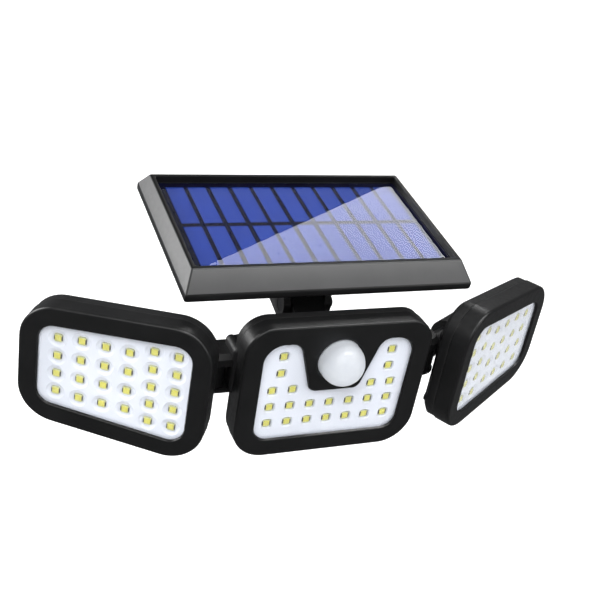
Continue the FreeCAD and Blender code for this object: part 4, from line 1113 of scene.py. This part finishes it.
@dataclass
class Studio:
    """Camera, floor, soft lights and the bright cards that only reflections see."""

    eye: tuple[float, float, float] = (-0.26933, -0.63531, 0.31629)
    azimuth: float = 0.46641
    elevation: float = 0.49392
    roll: float = 0.18462
    focal_pixels: float = 986.67
    frame_pixels: float = 600.0
    sensor_width: float = 36.0
    floor_height: float = -0.42
    floor_reach: float = 3.0
    bend_start: float = 1.6
    bend_radius: float = 1.2
    backdrop_height: float = 3.5
    floor_glow: float = 0.55
    surround: float = 0.45
    mirrored_surround: float = 0.17
    target: tuple[float, float, float] = (0.0, -0.13, -0.03)
    lamps: tuple[Lamp, ...] = (
        Lamp("key", (-0.9, -1.2, 1.5), (1.0, 1.0), 19.0),
        Lamp("left", (-2.2, 1.3, 0.95), (1.8, 1.8), 112.0),
        Lamp("fill", (1.2, -1.4, 0.8), (1.2, 1.2), 12.0))
    glass_level: float = -4.4
    glare_outline: Profile = ((-91.6, -51.5), (91.6, 51.5), (99.0, -20.0), (99.0, -60.0),
                              (-75.0, -60.0))
    glare_distance: float = 2.2
    glare_strength: float = 13.5
    edge_strength: float = 16.0

    def camera(self) -> None:
        """Camera at the photographed angle, rolled as it was."""
        forward = Vector((math.sin(self.azimuth) * math.cos(self.elevation),
                          math.cos(self.azimuth) * math.cos(self.elevation),
                          -math.sin(self.elevation)))
        right = Vector((math.cos(self.azimuth), -math.sin(self.azimuth), 0.0))
        up = right.cross(forward)
        c, s = math.cos(self.roll), math.sin(self.roll)
        right, up = c * right + s * up, -s * right + c * up
        data = bpy.data.cameras.new("view")
        data.sensor_width = self.sensor_width
        data.lens = self.sensor_width * self.focal_pixels / self.frame_pixels
        data.clip_start = 0.01
        camera = bpy.data.objects.new("view", data)
        camera.matrix_world = Matrix.Translation(Vector(self.eye)) @ Matrix(
            (right, up, -forward)).transposed().to_4x4()
        bpy.context.scene.collection.objects.link(camera)
        bpy.context.scene.camera = camera

    def floor(self) -> None:
        """Pale floor below the lamp, swept up behind it in an arc as a backdrop.

        Over the arc's angle t it runs start + r sin t back and r (1 - cos t) up.
        """
        bend = np.radians(np.linspace(10, 90, 9))
        run = np.concatenate([np.linspace(-self.floor_reach, self.bend_start, 6),
                              self.bend_start + self.bend_radius * np.sin(bend),
                              [self.bend_start + self.bend_radius]])
        rise = np.concatenate([np.zeros(6), self.bend_radius * (1 - np.cos(bend)),
                               [self.backdrop_height]]) + self.floor_height
        grid = np.stack([np.column_stack([np.full(len(run), x), run, rise])
                         for x in (-self.floor_reach, self.floor_reach)])
        first = np.arange(len(run) - 1)
        second = first + len(run)
        quads = np.stack([first, second, second + 1, first + 1], axis=1)
        mesh = bpy.data.meshes.new("floor")
        mesh.from_pydata(grid.reshape(-1, 3).tolist(), [], quads.tolist())
        tree = Tree("pale_floor")
        tree.set(base_color=(0.82, 0.82, 0.82), roughness=0.9, specular=0.0,
                 emission_color=(1.0, 1.0, 1.0))
        path = tree.add("ShaderNodeLightPath")
        seen = tree.math("MAXIMUM", path.outputs["Is Camera Ray"],
                         path.outputs["Is Transmission Ray"])
        tree.link(tree.math("MULTIPLY", seen, self.floor_glow),
                  tree.shader.inputs["Emission Strength"])
        mesh.materials.append(tree.material)
        floor = bpy.data.objects.new("floor", mesh)
        bpy.context.scene.collection.objects.link(floor)
        floor.visible_glossy = False

    def world(self) -> None:
        """Soft even surround, white where it is seen and darker where it is mirrored."""
        world = bpy.data.worlds.new("surround")
        world.use_nodes = True
        nodes, links = world.node_tree.nodes, world.node_tree.links
        background = nodes["Background"]
        background.inputs["Color"].default_value = (0.97, 0.98, 1.0, 1.0)
        path = nodes.new("ShaderNodeLightPath")
        mirrored_part = nodes.new("ShaderNodeMapRange")
        mirrored_part.inputs["To Min"].default_value = self.surround
        mirrored_part.inputs["To Max"].default_value = self.mirrored_surround
        links.new(path.outputs["Is Glossy Ray"], mirrored_part.inputs["Value"])
        scale = nodes.new("ShaderNodeMapRange")
        scale.inputs["To Max"].default_value = 1.0
        links.new(mirrored_part.outputs["Result"], scale.inputs["To Min"])
        links.new(path.outputs["Is Camera Ray"], scale.inputs["Value"])
        links.new(scale.outputs["Result"], background.inputs["Strength"])
        bpy.context.scene.world = world

    def light(self, lamp: Lamp) -> None:
        """Sets up one lamp, turned to the target."""
        data = bpy.data.lights.new(lamp.name, "AREA")
        data.shape = "RECTANGLE"
        data.size, data.size_y = lamp.size
        data.energy = lamp.power
        light = bpy.data.objects.new(lamp.name, data)
        light.location = lamp.place
        aim = Vector(self.target) - Vector(lamp.place)
        light.rotation_euler = aim.to_track_quat("-Z", "Y").to_euler()
        bpy.context.scene.collection.objects.link(light)

    def glare_card(self) -> None:
        """White card set so that its edge crosses the panel's glass.

        The eye is mirrored in the glass plane, and the card's corners lie where lines from
        that mirrored eye through points of the glass meet the card's plane: image + ray *
        distance / (ray . axis), with the axis along the mean ray.
        """
        placement = panel_placement()
        normal = np.array(placement.rotation.col[2])
        outline = np.array(self.glare_outline)
        glass = placement.apply(np.column_stack([outline, np.full(len(outline), self.glass_level)]))
        eye = np.array(self.eye)
        image = eye - 2 * normal * ((eye - glass[0]) @ normal)
        rays = glass - image
        axis = rays.mean(0) / np.linalg.norm(rays.mean(0))
        corners = image + rays * (self.glare_distance / (rays @ axis))[:, None]
        self.card("glare", corners, self.glare_strength)

    def edge_card(self) -> None:
        """Long card above the front, which draws a bright line along rounded top edges."""
        corners = np.array([[-0.15, -0.50, 1.05], [1.05, -0.50, 1.05],
                            [1.05, -0.22, 1.05], [-0.15, -0.22, 1.05]])
        self.card("edge", corners, self.edge_strength)

    def card(self, name: str, corners: Array, strength: float) -> None:
        """Bright flat card that only reflections see.

        Args:
            name: Card name.
            corners: (n, 3) corners in metres.
            strength: Emission strength.
        """
        mesh = bpy.data.meshes.new(f"{name}_card")
        mesh.from_pydata(corners.tolist(), [], [list(range(len(corners)))])
        tree = Tree(f"{name}_card")
        emission = tree.add("ShaderNodeEmission", strength=strength)
        tree.link(emission.outputs[0], tree.output.inputs["Surface"])
        mesh.materials.append(tree.material)
        card = bpy.data.objects.new(f"{name}_card", mesh)
        bpy.context.scene.collection.objects.link(card)
        card.visible_camera = card.visible_diffuse = card.visible_shadow = False
        card.visible_transmission = card.visible_volume_scatter = False

    def build(self) -> None:
        """Sets up the whole studio."""
        self.camera()
        self.floor()
        self.world()
        self.glare_card()
        self.edge_card()
        for lamp in self.lamps:
            self.light(lamp)
        bpy.context.scene.view_settings.view_transform = "Standard"


def main() -> None:
    """Builds the lamp's looks, piece by piece, and the studio round it."""
    logging.basicConfig(level=logging.INFO, format="%(name)s %(message)s")
    palette = Palette.make()
    layouts = {Side.MIDDLE: middle_layout(), Side.LEFT: side_layout(), Side.RIGHT: side_layout()}
    bodies = {Side.MIDDLE: "lamp_body", Side.LEFT: "left_head", Side.RIGHT: "right_head"}
    for side, layout in layouts.items():
        HeadFace(side, layout, bodies[side]).build(palette)
    SensorDome().build(palette)
    PanelFrame().build(palette)
    CellStrips().build(palette)
    CarriedNodes().dress(palette)
    Studio().build()


if __name__ == "__main__":
    main()
